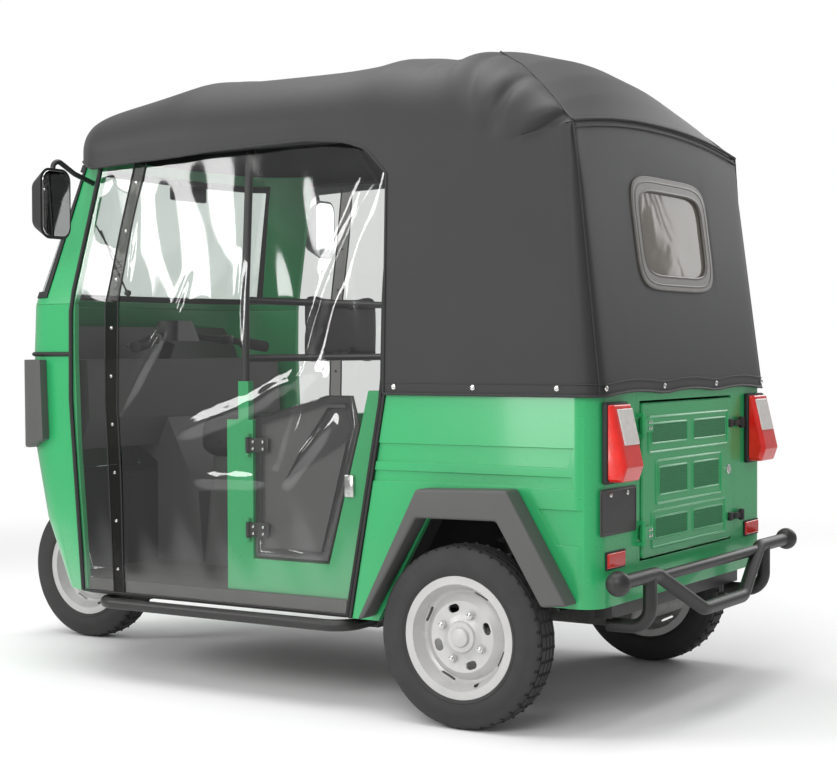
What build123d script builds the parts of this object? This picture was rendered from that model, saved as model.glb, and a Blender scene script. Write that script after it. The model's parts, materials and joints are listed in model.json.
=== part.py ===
from build123d import *
import os
from collections import namedtuple
from math import cos, radians, sin, tan

# Auto rickshaw with a soft top, clear side curtains and a hinged engine door.
# Frame: +X forward, +Y to the vehicle's left, +Z up, origin on the ground under the middle of its box.
# Millimetres throughout.

# Wheels and stance
WHEELBASE = 1889.0
REAR_OVERHANG = 510.0
REAR_TRACK = 1182.0
TYRE_DIAMETER = 494.0
TYRE_WIDTH = 110.0
RIM_DIAMETER = 330.0
RIM_SEAT_RADIUS = 150.0
AXLE_RADIUS = 18.0
FIT_GAP = 0.3

# Body shell
BODY_WIDTH = 1176.0
PANEL = 20.0
FLOOR_Z = 310.0
SILL_Z = 262.0
WAIST_Z = 905.0
COWL_Z = 1160.0
HEADER_Z = 1640.0
REAR_FACE_SETBACK = 382.0
REAR_CORNER_RADIUS = 62.0
QUARTER_FOOT_Z = 342.0

# Steering
STEER_RAKE = 25.0
STEER_TRAIL = 20.0
COLUMN_RADIUS = 20.0
HANDLEBAR_Z = 1045.0

# Soft top
CLOTH = 8.0
HEM_GAP = 2.0
HEM_Z = 893.0
EAVES_Z = 1606.0
REAR_WINDOW_WIDTH = 500.0
REAR_WINDOW_LOW = 1190.0
REAR_WINDOW_HIGH = 1490.0

# Tubes
HOOP_RADIUS = 12.0
STEP_RADIUS = 17.0
BUMPER_RADIUS = 19.0
BUMPER_BALL = 33.0

OVERALL_LENGTH = TYRE_DIAMETER / 2 + WHEELBASE + REAR_OVERHANG
FRONT_AXLE_X = OVERALL_LENGTH / 2 - TYRE_DIAMETER / 2
REAR_AXLE_X = FRONT_AXLE_X - WHEELBASE
AXLE_Z = TYRE_DIAMETER / 2
WHEEL_Y = REAR_TRACK / 2
HALF_BODY = BODY_WIDTH / 2
INNER_Y = HALF_BODY - PANEL
REAR_FACE_X = REAR_AXLE_X - REAR_FACE_SETBACK
REAR_END_X = -OVERALL_LENGTH / 2

# Stations along the body
SILL_FRONT_X = FRONT_AXLE_X - 515
TOEBOARD_X = FRONT_AXLE_X - 396
B_POST_X = REAR_AXLE_X + 774
EDGE_TOP_X = REAR_AXLE_X + 257
EDGE_FOOT_X = REAR_AXLE_X + 376
SEAT_WALL_X = REAR_AXLE_X + 345
FLOOR_REAR_X = SEAT_WALL_X - PANEL

SIDES = {"left": 1, "right": -1}
os.makedirs("parts", exist_ok=True)


def save(builder, name):
    """Label a finished piece and write its STEP file."""
    builder.part.label = name
    export_step(builder.part, f"parts/{name}.step")


def add_tube(points, radius, bend, mode=Mode.ADD):
    """Add or cut a round tube of straight runs and tangent bends."""
    with BuildLine(mode=Mode.PRIVATE) as path:
        if len(points) == 2:
            Line(*points)
        else:
            FilletPolyline(*points, radius=bend)
    with BuildSketch(Plane(path.line @ 0, z_dir=path.line % 0), mode=Mode.PRIVATE) as section:
        Circle(radius)
    sweep(section.sketch, path=path.line, mode=mode)


def add_box(low, high, mode=Mode.ADD):
    """Add or cut the box between two corners."""
    size = [b - a for a, b in zip(low, high)]
    middle = [(a + b) / 2 for a, b in zip(low, high)]
    with Locations(Vector(*middle)):
        Box(*size, mode=mode)


def side_sketch(points, corner=0, rounded=()):
    """Outline drawn in the XZ plane, seen from the vehicle's right, with some corners rounded."""
    with BuildSketch(Plane.XZ, mode=Mode.PRIVATE) as outline:
        with BuildLine():
            Polyline(*points, close=True)
        make_face()
        if corner:
            spots = [Vector(x, 0, z) for x, z in rounded]
            sharp = [v for v in outline.vertices() if any((Vector(v) - spot).length < 1 for spot in spots)]
            fillet(sharp, corner)
    return outline.sketch


def add_side_plate(outline, low_y, high_y, mode=Mode.ADD):
    """Extrude an XZ outline from one Y to another."""
    placed = outline.moved(Location((0, low_y, 0)))
    extrude(placed, amount=high_y - low_y, dir=(0, 1, 0), mode=mode)


# Nose and windscreen: plan outlines of the front shell at a few levels.
# pillar: rear edge at the door opening, nose: front centre,
# corner: where side and front meet before rounding.
Level = namedtuple("Level", "z pillar_x pillar_y corner_x corner_y corner_r nose_x")
NOSE_LEVELS = [
    Level(SILL_Z, -516, 0, -390, 58, 110, -176),
    Level(480, -498, 0, -296, 44, 170, -106),
    Level(713, -478, 0, -244, 34, 190, -70),
    Level(1010, -467, 0, -240, 24, 175, -98),
    Level(COWL_Z, -469, 0, -226, 28, 150, -161),
]
SCREEN_LEVELS = [
    NOSE_LEVELS[-1],
    Level(HEADER_Z, -571, 45, -386, 135, 100, -331),
]


def front_outline(level, inset=0.0, back=0.0):
    """Plan outline of the front shell at one level, set in from the outer skin."""
    side_y = HALF_BODY - level.pillar_y - inset
    corner = (FRONT_AXLE_X + level.corner_x - inset, HALF_BODY - level.corner_y - inset)
    pillar_x = FRONT_AXLE_X + level.pillar_x
    rear_x = pillar_x - back
    rear_y = side_y + back * (side_y - corner[1]) / (corner[0] - pillar_x)
    with BuildSketch(Plane.XY.offset(level.z), mode=Mode.PRIVATE) as outline:
        with BuildLine():
            Line((rear_x, -rear_y), (corner[0], -corner[1]))
            ThreePointArc((corner[0], -corner[1]), (FRONT_AXLE_X + level.nose_x - inset, 0), corner)
            Line(corner, (rear_x, rear_y))
            Line((rear_x, rear_y), (rear_x, -rear_y))
        make_face()
        fillet(outline.vertices().sort_by(Axis.X)[-2:], level.corner_r - inset)
    return outline.sketch


def add_front_shell(levels, outer, inner, mode=Mode.ADD):
    """Add the wall between two insets of the front shell, open to the rear."""
    with BuildPart(mode=Mode.PRIVATE) as wall:
        loft([front_outline(level, outer) for level in levels], ruled=True)
        loft([front_outline(level, inner, 80) for level in levels], ruled=True, mode=Mode.SUBTRACT)
    add(wall.part, mode=mode)


def add_front_core(levels, inset, mode):
    """Add, cut or keep the volume enclosed by the front shell at one inset."""
    with BuildPart(mode=Mode.PRIVATE) as core:
        loft([front_outline(level, inset, 80) for level in levels], ruled=True)
    add(core.part, mode=mode)


# Steering axis: raked back from just ahead of the front axle.
STEER_DIR = (-sin(radians(STEER_RAKE)), 0, cos(radians(STEER_RAKE)))


def steer_point(z):
    """Point of the steering axis at one height."""
    return (FRONT_AXLE_X + STEER_TRAIL - tan(radians(STEER_RAKE)) * (z - AXLE_Z), 0, z)


HEAD_LOW_Z = 604.0
HEAD_HIGH_Z = 800.0
HEAD_RADIUS = 34.0
WELL_HALF = 270.0
WELL_TOP_Z = 600.0
WELL_WALL = 12.0
WHEEL_OPENING_RADIUS = 170.0


def add_steer_cylinder(low_z, high_z, radius, mode=Mode.ADD):
    """Round bar or bore along the steering axis."""
    length = (high_z - low_z) / cos(radians(STEER_RAKE))
    with BuildSketch(Plane(steer_point(low_z), z_dir=STEER_DIR), mode=Mode.PRIVATE) as section:
        Circle(radius)
    extrude(section.sketch, amount=length, mode=mode)


with BuildPart() as front_cowl:
    add_front_shell(NOSE_LEVELS, 0, PANEL)
    with BuildSketch(Plane.YZ.offset(TOEBOARD_X), mode=Mode.PRIVATE) as wheel_opening:
        Rectangle(2 * WELL_HALF, 2 * (WELL_TOP_Z + WELL_WALL))
        fillet(wheel_opening.vertices().group_by(Axis.Z)[-1], WHEEL_OPENING_RADIUS)
    extrude(wheel_opening.sketch, amount=WHEELBASE, mode=Mode.SUBTRACT)
save(front_cowl, "front_cowl")

# Windscreen opening, as a side outline that cuts through the front of the screen frame.
SCREEN_LOW_Z = COWL_Z + 22
SCREEN_HIGH_Z = HEADER_Z - 34
SCREEN_LOW_X = FRONT_AXLE_X - 331
SCREEN_HIGH_X = FRONT_AXLE_X - 436
RUBBER = 20.0
GLASS = 6.0


def screen_outline(margin):
    """Side outline of the windscreen opening, shrunk by a margin."""
    reach = FRONT_AXLE_X + 100
    low = (SCREEN_LOW_X + margin, SCREEN_LOW_Z + margin)
    high = (SCREEN_HIGH_X + margin, SCREEN_HIGH_Z - margin)
    points = [low, (reach, low[1]), (reach, high[1]), high]
    return side_sketch(points, 60 - margin, (low, high))


with BuildPart() as screen_frame:
    add_front_shell(SCREEN_LEVELS, 0, PANEL)
    add_side_plate(screen_outline(0), -HALF_BODY, HALF_BODY, Mode.SUBTRACT)
save(screen_frame, "screen_frame")

with BuildPart() as screen_rubber:
    add_front_shell(SCREEN_LEVELS, -4, PANEL - 4)
    add_side_plate(screen_outline(FIT_GAP), -HALF_BODY - 10, HALF_BODY + 10, Mode.INTERSECT)
    add_side_plate(screen_outline(RUBBER), -HALF_BODY - 10, HALF_BODY + 10, Mode.SUBTRACT)
save(screen_rubber, "screen_rubber")

with BuildPart() as windscreen:
    add_front_shell(SCREEN_LEVELS, PANEL / 2 - GLASS, PANEL / 2)
    add_side_plate(screen_outline(RUBBER + FIT_GAP), -HALF_BODY, HALF_BODY, Mode.INTERSECT)
save(windscreen, "windscreen")

# Underframe: two rails, cross members, outriggers for the step tubes, and the neck with the steering head.
RAIL_Y = 230.0
RAIL_HALF = 25.0
RAIL_Z = FLOOR_Z - PANEL
RAIL_DEPTH = 50.0
RAIL_REAR_X = REAR_AXLE_X - 330
NECK_X = TOEBOARD_X + 60
NECK_RADIUS = 28.0
NECK_BEND = 120.0
STEP_FRONT_X = SILL_FRONT_X - 56
STEP_REAR_X = EDGE_FOOT_X + 12
STEP_Y = HALF_BODY + 22
STEP_Z = 240.0
OUTRIGGER_Y = 470.0
ARM_PIVOT_X = REAR_AXLE_X + 290
KICK_X = REAR_AXLE_X + 230
KICK_RISE = 60.0
CROSS_XS = [B_POST_X - 250, B_POST_X + 250, NECK_X]
TAIL_BEAM_HALF = 440.0
neck_points = [
    (NECK_X, 0, RAIL_Z - RAIL_DEPTH / 2),
    (NECK_X, 0, WELL_TOP_Z - 60),
    steer_point((HEAD_LOW_Z + HEAD_HIGH_Z) / 2),
]

with BuildPart() as underframe:
    rail_low, rail_high = RAIL_Z - RAIL_DEPTH, RAIL_Z - FIT_GAP
    for side in SIDES.values():
        near, far = side * RAIL_Y - RAIL_HALF, side * RAIL_Y + RAIL_HALF
        add_box((KICK_X, near, rail_low), (NECK_X + RAIL_HALF, far, rail_high))
        add_box((KICK_X - 2 * RAIL_HALF, near, rail_low), (KICK_X, far, rail_high + KICK_RISE))
        add_box((RAIL_REAR_X, near, rail_low + KICK_RISE), (KICK_X, far, rail_high + KICK_RISE))
    for x in CROSS_XS:
        add_box((x - RAIL_HALF, -RAIL_Y, rail_low), (x + RAIL_HALF, RAIL_Y, rail_high))
    add_box(
        (RAIL_REAR_X - RAIL_HALF, -TAIL_BEAM_HALF, rail_low + KICK_RISE),
        (RAIL_REAR_X + RAIL_HALF, TAIL_BEAM_HALF, rail_high + KICK_RISE),
    )
    for x in (STEP_FRONT_X, STEP_REAR_X):
        add_box((x - 20, -OUTRIGGER_Y, STEP_Z - 20), (x + 20, OUTRIGGER_Y, RAIL_Z - FIT_GAP))
    add_tube(neck_points, NECK_RADIUS, NECK_BEND)
    add_steer_cylinder(HEAD_LOW_Z, HEAD_HIGH_Z, HEAD_RADIUS)
    add_steer_cylinder(HEAD_LOW_Z - 60, HEAD_HIGH_Z + 60, COLUMN_RADIUS + FIT_GAP, Mode.SUBTRACT)
save(underframe, "underframe")

with BuildPart() as wheelhouse:
    add_box(
        (TOEBOARD_X, -WELL_HALF, FLOOR_Z - PANEL + FIT_GAP),
        (FRONT_AXLE_X + 150, WELL_HALF, WELL_TOP_Z + WELL_WALL),
    )
    add_box(
        (TOEBOARD_X + WELL_WALL, -WELL_HALF + WELL_WALL, 0),
        (FRONT_AXLE_X + 200, WELL_HALF - WELL_WALL, WELL_TOP_Z),
        Mode.SUBTRACT,
    )
    add_front_core(NOSE_LEVELS, PANEL + FIT_GAP, Mode.INTERSECT)
    add_steer_cylinder(HEAD_LOW_Z - 100, HEAD_HIGH_Z, HEAD_RADIUS + FIT_GAP, Mode.SUBTRACT)
    add_tube(neck_points, NECK_RADIUS + FIT_GAP, NECK_BEND, Mode.SUBTRACT)
save(wheelhouse, "wheelhouse")

# Floor with its raised sills.
with BuildPart() as floor_pan:
    add_box((FLOOR_REAR_X, -INNER_Y, FLOOR_Z - PANEL), (SILL_FRONT_X, INNER_Y, FLOOR_Z))
    add_box((SILL_FRONT_X, -460, FLOOR_Z - PANEL), (TOEBOARD_X - FIT_GAP, 460, FLOOR_Z))
    for side in SIDES.values():
        low_y, high_y = sorted((side * (INNER_Y - 14), side * HALF_BODY))
        add_box((EDGE_FOOT_X + 20, low_y, SILL_Z), (SILL_FRONT_X - 8, high_y, FLOOR_Z))
save(floor_pan, "floor_pan")

# Dash with a sloping centre tunnel that falls to the floor ahead of the driver's seat.
DASH_HALF = 500.0
TUNNEL_HALF = 120.0
DASH_CORNER = 24.0
TUNNEL_CORNER = 60.0
TUNNEL_FRONT_Z = 640.0
# Side outlines: distance ahead of the front axle and height.
Outline = namedtuple("Outline", "ahead z")
DASH_SIDE = [
    Outline(-436, 985),
    Outline(-250, 985),
    Outline(-222, 1095),
    Outline(-190, 1095),
    Outline(-210, 760),
    Outline(-300, 690),
    Outline(-400, 700),
    Outline(-446, 800),
]
TUNNEL_SIDE = [
    Outline(-436, 800),
    Outline(-560, 560),
    Outline(-690, 400),
    Outline(-690, 0),
    Outline(-396, 0),
    Outline(-396, TUNNEL_FRONT_Z),
    Outline(-300, 700),
    Outline(-300, 800),
]
with BuildPart() as dash_console:
    dash_points = [(FRONT_AXLE_X + x, z) for x, z in DASH_SIDE]
    dash_outline = side_sketch(dash_points, DASH_CORNER, dash_points[:2] + dash_points[-2:])
    add_side_plate(dash_outline, -DASH_HALF, DASH_HALF)
    tunnel_points = [(FRONT_AXLE_X + x, max(z, FLOOR_Z + FIT_GAP)) for x, z in TUNNEL_SIDE]
    toe_x = TOEBOARD_X - FIT_GAP
    tunnel_points[4:6] = [(toe_x, FLOOR_Z + FIT_GAP), (toe_x, TUNNEL_FRONT_Z)]
    add_box(
        (TOEBOARD_X - 100, -WELL_HALF - 40, 0),
        (FRONT_AXLE_X, WELL_HALF + 40, WELL_TOP_Z + WELL_WALL + 8),
        Mode.SUBTRACT,
    )
    tunnel_outline = side_sketch(tunnel_points, TUNNEL_CORNER, tunnel_points[1:3])
    add_side_plate(tunnel_outline, -TUNNEL_HALF, TUNNEL_HALF)
    add_front_core(NOSE_LEVELS, PANEL + FIT_GAP, Mode.INTERSECT)
    add_steer_cylinder(HEAD_LOW_Z - 200, HANDLEBAR_Z + 100, HEAD_RADIUS + 6, Mode.SUBTRACT)
save(dash_console, "dash_console")

# Body sides, quarters and rear panel. The rear shell is one rounded plan, split where the real panels meet.
REAR_SPLIT_Y = 345.0
# Recesses pressed into the quarter's side: heights, and the ends of the upper and lower edges.
Recess = namedtuple("Recess", "low_z high_z low_front low_rear high_front high_rear")
RECESSES = [
    Recess(706, 757, 322, -300, 314, -318),
    Recess(652, 682, 330, -318, 326, -312),
    Recess(505, 597, -268, -420, -216, -420),
]
RECESS_DEPTH = 5.0
B_FRONT_X = B_POST_X + 61
B_REAR_X = B_POST_X - 35
B_SHOULDER_Z = 810.0
B_TOP_Z = 923.0
SIDE_OUT_Y = HALF_BODY - PANEL
SIDE_IN_Y = SIDE_OUT_Y - 25

ARCH = [(292, 255), (121, 562), (-125, 562), (-258, 330)]
FLARE = [(314, 272), (122, 640), (-157, 648), (-333, 358), (-258, 350), (-125, 565), (121, 562), (292, 278)]


def rear_points(table):
    """Turn rear-axle distances into positions along the body."""
    return [(REAR_AXLE_X + x, z) for x, z in table]


def rear_plan(inset, z):
    """Plan of the rear shell with its two rounded corners."""
    front_x = EDGE_FOOT_X + 40
    with BuildSketch(Plane.XY.offset(z), mode=Mode.PRIVATE) as plan:
        with BuildLine():
            side_y = HALF_BODY - inset
            Polyline(
                (front_x, side_y),
                (REAR_FACE_X + inset, side_y),
                (REAR_FACE_X + inset, -side_y),
                (front_x, -side_y),
                close=True,
            )
        make_face()
        fillet(plan.vertices().sort_by(Axis.X)[:2], REAR_CORNER_RADIUS - inset)
    return plan.sketch


def add_rear_wall(outer, inner, low_z, high_z, mode=Mode.ADD):
    """Add or cut the wall between two insets of the rear shell."""
    with BuildPart(mode=Mode.PRIVATE) as wall:
        extrude(rear_plan(outer, low_z), amount=high_z - low_z)
        open_front = rear_plan(inner, low_z - 1)
        extrude(open_front, amount=high_z - low_z + 2, mode=Mode.SUBTRACT)
        add_box((EDGE_FOOT_X + 30, -HALF_BODY, 0), (EDGE_FOOT_X + 60, HALF_BODY, WAIST_Z + 50), Mode.SUBTRACT)
    add(wall.part, mode=mode)


arch_points = rear_points(ARCH)
arch_outline = side_sketch(
    [(arch_points[0][0], 0)] + arch_points + [(arch_points[3][0], 0)], 70, arch_points[1:3]
)
edge_cut = side_sketch(
    [
        (EDGE_FOOT_X, SILL_Z),
        (EDGE_TOP_X, WAIST_Z),
        (EDGE_TOP_X, WAIST_Z + 50),
        (EDGE_FOOT_X + 100, WAIST_Z + 50),
        (EDGE_FOOT_X + 100, SILL_Z - 50),
        (EDGE_FOOT_X, SILL_Z - 50),
    ]
)

for name, side in SIDES.items():
    with BuildPart() as quarter:
        add_rear_wall(0, PANEL, SILL_Z, WAIST_Z)
        for recess in RECESSES:
            edge = rear_points([
                (recess.low_front, recess.low_z),
                (recess.high_front, recess.high_z),
                (recess.high_rear, recess.high_z),
                (recess.low_rear, recess.low_z),
            ])
            low_y, high_y = sorted((side * (HALF_BODY - RECESS_DEPTH), side * (HALF_BODY + 1)))
            add_side_plate(side_sketch(edge), low_y, high_y, Mode.SUBTRACT)
        low_y, high_y = sorted((side * REAR_SPLIT_Y, -side * (HALF_BODY + 10)))
        add_box((REAR_FACE_X - 10, low_y, 0), (EDGE_FOOT_X + 60, high_y, WAIST_Z + 50), Mode.SUBTRACT)
        low_y, high_y = sorted((side * REAR_SPLIT_Y, side * (HALF_BODY + 10)))
        add_side_plate(edge_cut, low_y, high_y, Mode.SUBTRACT)
        add_side_plate(arch_outline, low_y, high_y, Mode.SUBTRACT)
        add_box((REAR_FACE_X - 10, low_y, 0), (REAR_AXLE_X - 200, high_y, QUARTER_FOOT_Z), Mode.SUBTRACT)
    save(quarter, f"quarter_{name}")

# Engine door and the rear panel around it.
DOOR_LOW_Z = 448.0
DOOR_HIGH_Z = 868.0
DOOR_LEFT_Y = 318.0
DOOR_RIGHT_Y = -312.0
DOOR_GAP = 6.0
DOOR_THICK = 22.0
DOOR_PROUD = 5.0
DOOR_PIN_Y = DOOR_LEFT_Y + 12
DOOR_PIN_X = REAR_FACE_X - 14
KNUCKLE_RADIUS = 7.0
KNUCKLE_HALF = 22.0
LUG = 12.0
PIN_RADIUS = 4.0
Vent = namedtuple("Vent", "low_z high_z left_y inner_y")
VENTS = [Vent(757, 811, 262, 4), Vent(614, 690, 212, 2), Vent(496, 553, 241, 2)]
VENT_SLATS = 4
VENT_MULLION = 18.0
SLAT_DEPTH = 20.0
SLAT_THICK = 3.0
SLAT_TILT = 35.0
SLAT_INSET = 9.0
DOOR_CORNER = 14.0
DOOR_BEVEL = 4.0
LEAF_LENGTH = 40.0
LEAF_HALF = 18.0
HINGE_ZS = (DOOR_LOW_Z + 70, DOOR_HIGH_Z - 60)


def add_hinge_pin(x, y, z):
    """Moving half of an upright hinge: a knuckle and the pin through it."""
    with Locations((x, y, z)):
        Cylinder(KNUCKLE_RADIUS, 2 * KNUCKLE_HALF)
        Cylinder(PIN_RADIUS, 2 * (KNUCKLE_HALF + LUG))


def add_hinge_lugs(x, y, z, root):
    """Fixed half of an upright hinge: bored lugs above and below the knuckle, joined to a panel at a root."""
    for side in SIDES.values():
        with Locations((x, y, z + side * (KNUCKLE_HALF + FIT_GAP + LUG / 2))):
            Cylinder(KNUCKLE_RADIUS, LUG)
        low_z = z + side * (KNUCKLE_HALF + FIT_GAP + LUG / 2) - LUG / 2
        low_x, high_x = sorted((x, root[0]))
        low_y, high_y = sorted((y, root[1]))
        reach_x = KNUCKLE_RADIUS - 1 if low_x == high_x else 0
        reach_y = KNUCKLE_RADIUS - 1 if low_y == high_y else 0
        add_box((low_x - reach_x, low_y - reach_y, low_z), (high_x + reach_x, high_y + reach_y, low_z + LUG))
    with Locations((x, y, z)):
        Cylinder(PIN_RADIUS + FIT_GAP, 2 * (KNUCKLE_HALF + LUG) + 10, mode=Mode.SUBTRACT)


with BuildPart() as rear_panel:
    add_rear_wall(0, PANEL, QUARTER_FOOT_Z, WAIST_Z)
    inner_x = REAR_FACE_X + PANEL + 1
    add_box((inner_x, -HALF_BODY, 0), (EDGE_FOOT_X + 60, HALF_BODY, WAIST_Z + 1), Mode.SUBTRACT)
    for side in SIDES.values():
        low_y, high_y = sorted((side * (REAR_SPLIT_Y - FIT_GAP), side * (HALF_BODY + 1)))
        add_box((REAR_FACE_X - 1, low_y, 0), (REAR_FACE_X + 60, high_y, WAIST_Z + 1), Mode.SUBTRACT)
    add_box(
        (REAR_FACE_X - 1, DOOR_RIGHT_Y - DOOR_GAP, DOOR_LOW_Z - DOOR_GAP),
        (REAR_FACE_X + PANEL + 1, DOOR_LEFT_Y + DOOR_GAP, DOOR_HIGH_Z + DOOR_GAP),
        Mode.SUBTRACT,
    )
    for z in HINGE_ZS:
        add_hinge_lugs(DOOR_PIN_X, DOOR_PIN_Y, z, (REAR_FACE_X + 1, DOOR_PIN_Y))
save(rear_panel, "rear_panel")

with BuildPart() as engine_door:
    door_x = REAR_FACE_X - DOOR_PROUD
    add_box((door_x, DOOR_RIGHT_Y, DOOR_LOW_Z), (door_x + DOOR_THICK, DOOR_LEFT_Y, DOOR_HIGH_Z))
    fillet(engine_door.edges().filter_by(Axis.X), DOOR_CORNER)
    chamfer(engine_door.faces().sort_by(Axis.X)[0].edges(), DOOR_BEVEL)
    for vent in VENTS:
        for side in SIDES.values():
            low_y, high_y = sorted((side * (vent.inner_y + VENT_MULLION), side * vent.left_y))
            through_x = door_x + DOOR_THICK + 1
            add_box((door_x - 1, low_y, vent.low_z), (through_x, high_y, vent.high_z), Mode.SUBTRACT)
            pitch = (vent.high_z - vent.low_z) / VENT_SLATS
            for row in range(VENT_SLATS):
                slat_z = vent.low_z + pitch * (row + 0.5)
                slat = Location((door_x + SLAT_INSET, (low_y + high_y) / 2, slat_z), (0, SLAT_TILT, 0))
                with Locations(slat):
                    Box(SLAT_DEPTH, high_y - low_y + 2, SLAT_THICK)
    for z in HINGE_ZS:
        low = (DOOR_PIN_X - 5, DOOR_LEFT_Y - LEAF_LENGTH, z - LEAF_HALF)
        add_box(low, (door_x + 1, DOOR_PIN_Y, z + LEAF_HALF))
        add_hinge_pin(DOOR_PIN_X, DOOR_PIN_Y, z)
save(engine_door, "engine_door")

# Side panels: B-post, entry sill and the strip in front of the quarter, round the passenger doorway.
HALF_DOOR_PIN_X = B_POST_X - 23
HALF_DOOR_PIN_Y = SIDE_OUT_Y + 9
HALF_DOOR_HINGES = (490.0, 737.0)
B_POST_HALF = 19.0
STRIP_TOP_Z = 900.0
DOORWAY = [(-35, 405), (-306, 405), (-416, 800), (-441, 900)]
for name, side in SIDES.items():
    low_y, high_y = sorted((side * SIDE_IN_Y, side * SIDE_OUT_Y))
    with BuildPart() as side_panel:
        doorway = [(B_POST_X + x, z) for x, z in DOORWAY]
        points = [
            (B_FRONT_X, FLOOR_Z + FIT_GAP),
            (B_FRONT_X, B_SHOULDER_Z),
            (B_POST_X + B_POST_HALF, B_SHOULDER_Z),
            (B_POST_X + B_POST_HALF, B_TOP_Z),
            (B_POST_X - B_POST_HALF, B_TOP_Z),
            (B_POST_X - B_POST_HALF, B_SHOULDER_Z),
            (B_REAR_X, B_SHOULDER_Z),
            *doorway,
            (EDGE_TOP_X - 4, STRIP_TOP_Z),
            (EDGE_FOOT_X - 10, FLOOR_Z + FIT_GAP),
        ]
        add_side_plate(side_sketch(points), low_y, high_y)
        for z in HALF_DOOR_HINGES:
            root = (HALF_DOOR_PIN_X, side * (SIDE_OUT_Y - 1))
            add_hinge_lugs(HALF_DOOR_PIN_X, side * HALF_DOOR_PIN_Y, z, root)
    save(side_panel, f"side_panel_{name}")

# Half doors: tube frame, moulded upper rear panel and a diagonal brace, hung on the B-post.
HALF_DOOR = [(-45, 414), (-296, 414), (-404, 800), (-380, 885), (-300, 885), (-45, 815)]
HALF_DOOR_KITE = [(-150, 640), (-392, 770), (-380, 850), (-300, 850), (-200, 720)]
FRAME_WIDTH = 24.0
FRAME_CORNER = 30.0
KITE_CORNER = 25.0
KITE_HALF = 8.0
PANE_HALF = 3.0
HALF_LEAF_LENGTH = 70.0
HALF_LEAF_PAD = 40.0
HALF_LEAF_HALF = 20.0
for name, side in SIDES.items():
    low_y, high_y = sorted((side * (SIDE_IN_Y + 3), side * (SIDE_OUT_Y - 1)))
    middle_y = (low_y + high_y) / 2
    outline = [(B_POST_X + x, z) for x, z in HALF_DOOR]
    kite = [(B_POST_X + x, z) for x, z in HALF_DOOR_KITE]
    with BuildPart() as half_door:
        outer = side_sketch(outline, FRAME_CORNER, outline[:3] + outline[5:])
        add_side_plate(outer, low_y, high_y)
        with BuildSketch(Plane.XZ, mode=Mode.PRIVATE) as inner:
            add(outer)
            offset(amount=-FRAME_WIDTH, mode=Mode.REPLACE)
        add_side_plate(inner.sketch, low_y - 1, high_y + 1, Mode.SUBTRACT)
        add_side_plate(inner.sketch, middle_y - PANE_HALF, middle_y + PANE_HALF)
        add_side_plate(side_sketch(kite, KITE_CORNER, kite[:1]), middle_y - KITE_HALF, middle_y + KITE_HALF)
        for z in HALF_DOOR_HINGES:
            leaf_x = HALF_DOOR_PIN_X - HALF_LEAF_LENGTH
            leaf_low_z, leaf_high_z = z - HALF_LEAF_HALF, z + HALF_LEAF_HALF
            leaf_y = sorted((side * (SIDE_OUT_Y + 1), side * HALF_DOOR_PIN_Y))
            add_box((leaf_x, leaf_y[0], leaf_low_z), (HALF_DOOR_PIN_X, leaf_y[1], leaf_high_z))
            pad_y = sorted((side * (SIDE_OUT_Y - 2), side * (SIDE_OUT_Y + 2)))
            add_box((leaf_x, pad_y[0], leaf_low_z), (leaf_x + HALF_LEAF_PAD, pad_y[1], leaf_high_z))
            add_hinge_pin(HALF_DOOR_PIN_X, side * HALF_DOOR_PIN_Y, z)
    save(half_door, f"door_{name}")

# Arch flares outside the quarters, and the liners inside them.
FLARE_OUT_Y = WHEEL_Y + TYRE_WIDTH / 2 + 14
FLARE_CORNER = 64.0
LINER_IN_Y = HALF_BODY - 90
LINER = 12.0
flare_points = rear_points(FLARE)
liner_points = [
    (arch_points[0][0] + LINER, arch_points[0][1]),
    (arch_points[1][0] + LINER * 0.5, arch_points[1][1] + LINER),
    (arch_points[2][0] - LINER * 0.5, arch_points[2][1] + LINER),
    (arch_points[3][0] - LINER, arch_points[3][1]),
]
with BuildPart() as arch_flares:
    for side in SIDES.values():
        low_y, high_y = sorted((side * (HALF_BODY + FIT_GAP), side * FLARE_OUT_Y))
        flare_outline = side_sketch(flare_points, FLARE_CORNER, flare_points[1:3] + flare_points[5:7])
        add_side_plate(flare_outline, low_y, high_y)
save(arch_flares, "arch_flares")

with BuildPart() as arch_liners:
    for side in SIDES.values():
        low_y, high_y = sorted((side * LINER_IN_Y, side * (INNER_Y - FIT_GAP)))
        liner = side_sketch(liner_points, 75, liner_points[1:3])
        add_side_plate(liner, low_y, high_y)
        add_side_plate(arch_outline, low_y - 1, high_y + 1, Mode.SUBTRACT)
save(arch_liners, "arch_liners")

# Soft top. Roof sections from front to rear are stretched straight between the bows.
# half: half width at the eaves, low: lower edge, eave: top of upright edge, shoulder and crown: roof line.
Bow = namedtuple("Bow", "x half low eave shoulder_y shoulder_z bulge crown")
ROOF = [
    Bow(WHEELBASE - 286, 330, 1640, 1680, 210, 1730, 4, 1740),
    Bow(WHEELBASE - 352, 445, 1618, 1654, 270, 1772, 14, 1796),
    Bow(WHEELBASE - 446, 520, 1610, 1640, 290, 1796, 22, 1820),
    Bow(WHEELBASE - 520, 566, 1574, 1628, 292, 1806, 26, 1834),
    Bow(1027, 580, 1590, 1640, 290, 1856, 34, 1882),
    Bow(461, 580, 1612, 1650, 290, 1848, 36, 1874),
    Bow(325, 578, 1575, 1650, 290, 1862, 36, 1889),
    Bow(225, 572, 1490, 1640, 290, 1846, 36, 1874),
    Bow(75, 568, 1490, 1630, 285, 1857, 34, 1884),
    Bow(-300, 554, 1490, 1590, 540, 1610, 2, 1650),
]
REAR_HALF_LOW = HALF_BODY + CLOTH + HEM_GAP
REAR_HALF_HIGH = 554.0
HOOD_REAR_LOW_X = REAR_FACE_X - CLOTH - HEM_GAP
HOOD_REAR_HIGH_X = REAR_AXLE_X - 300


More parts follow.
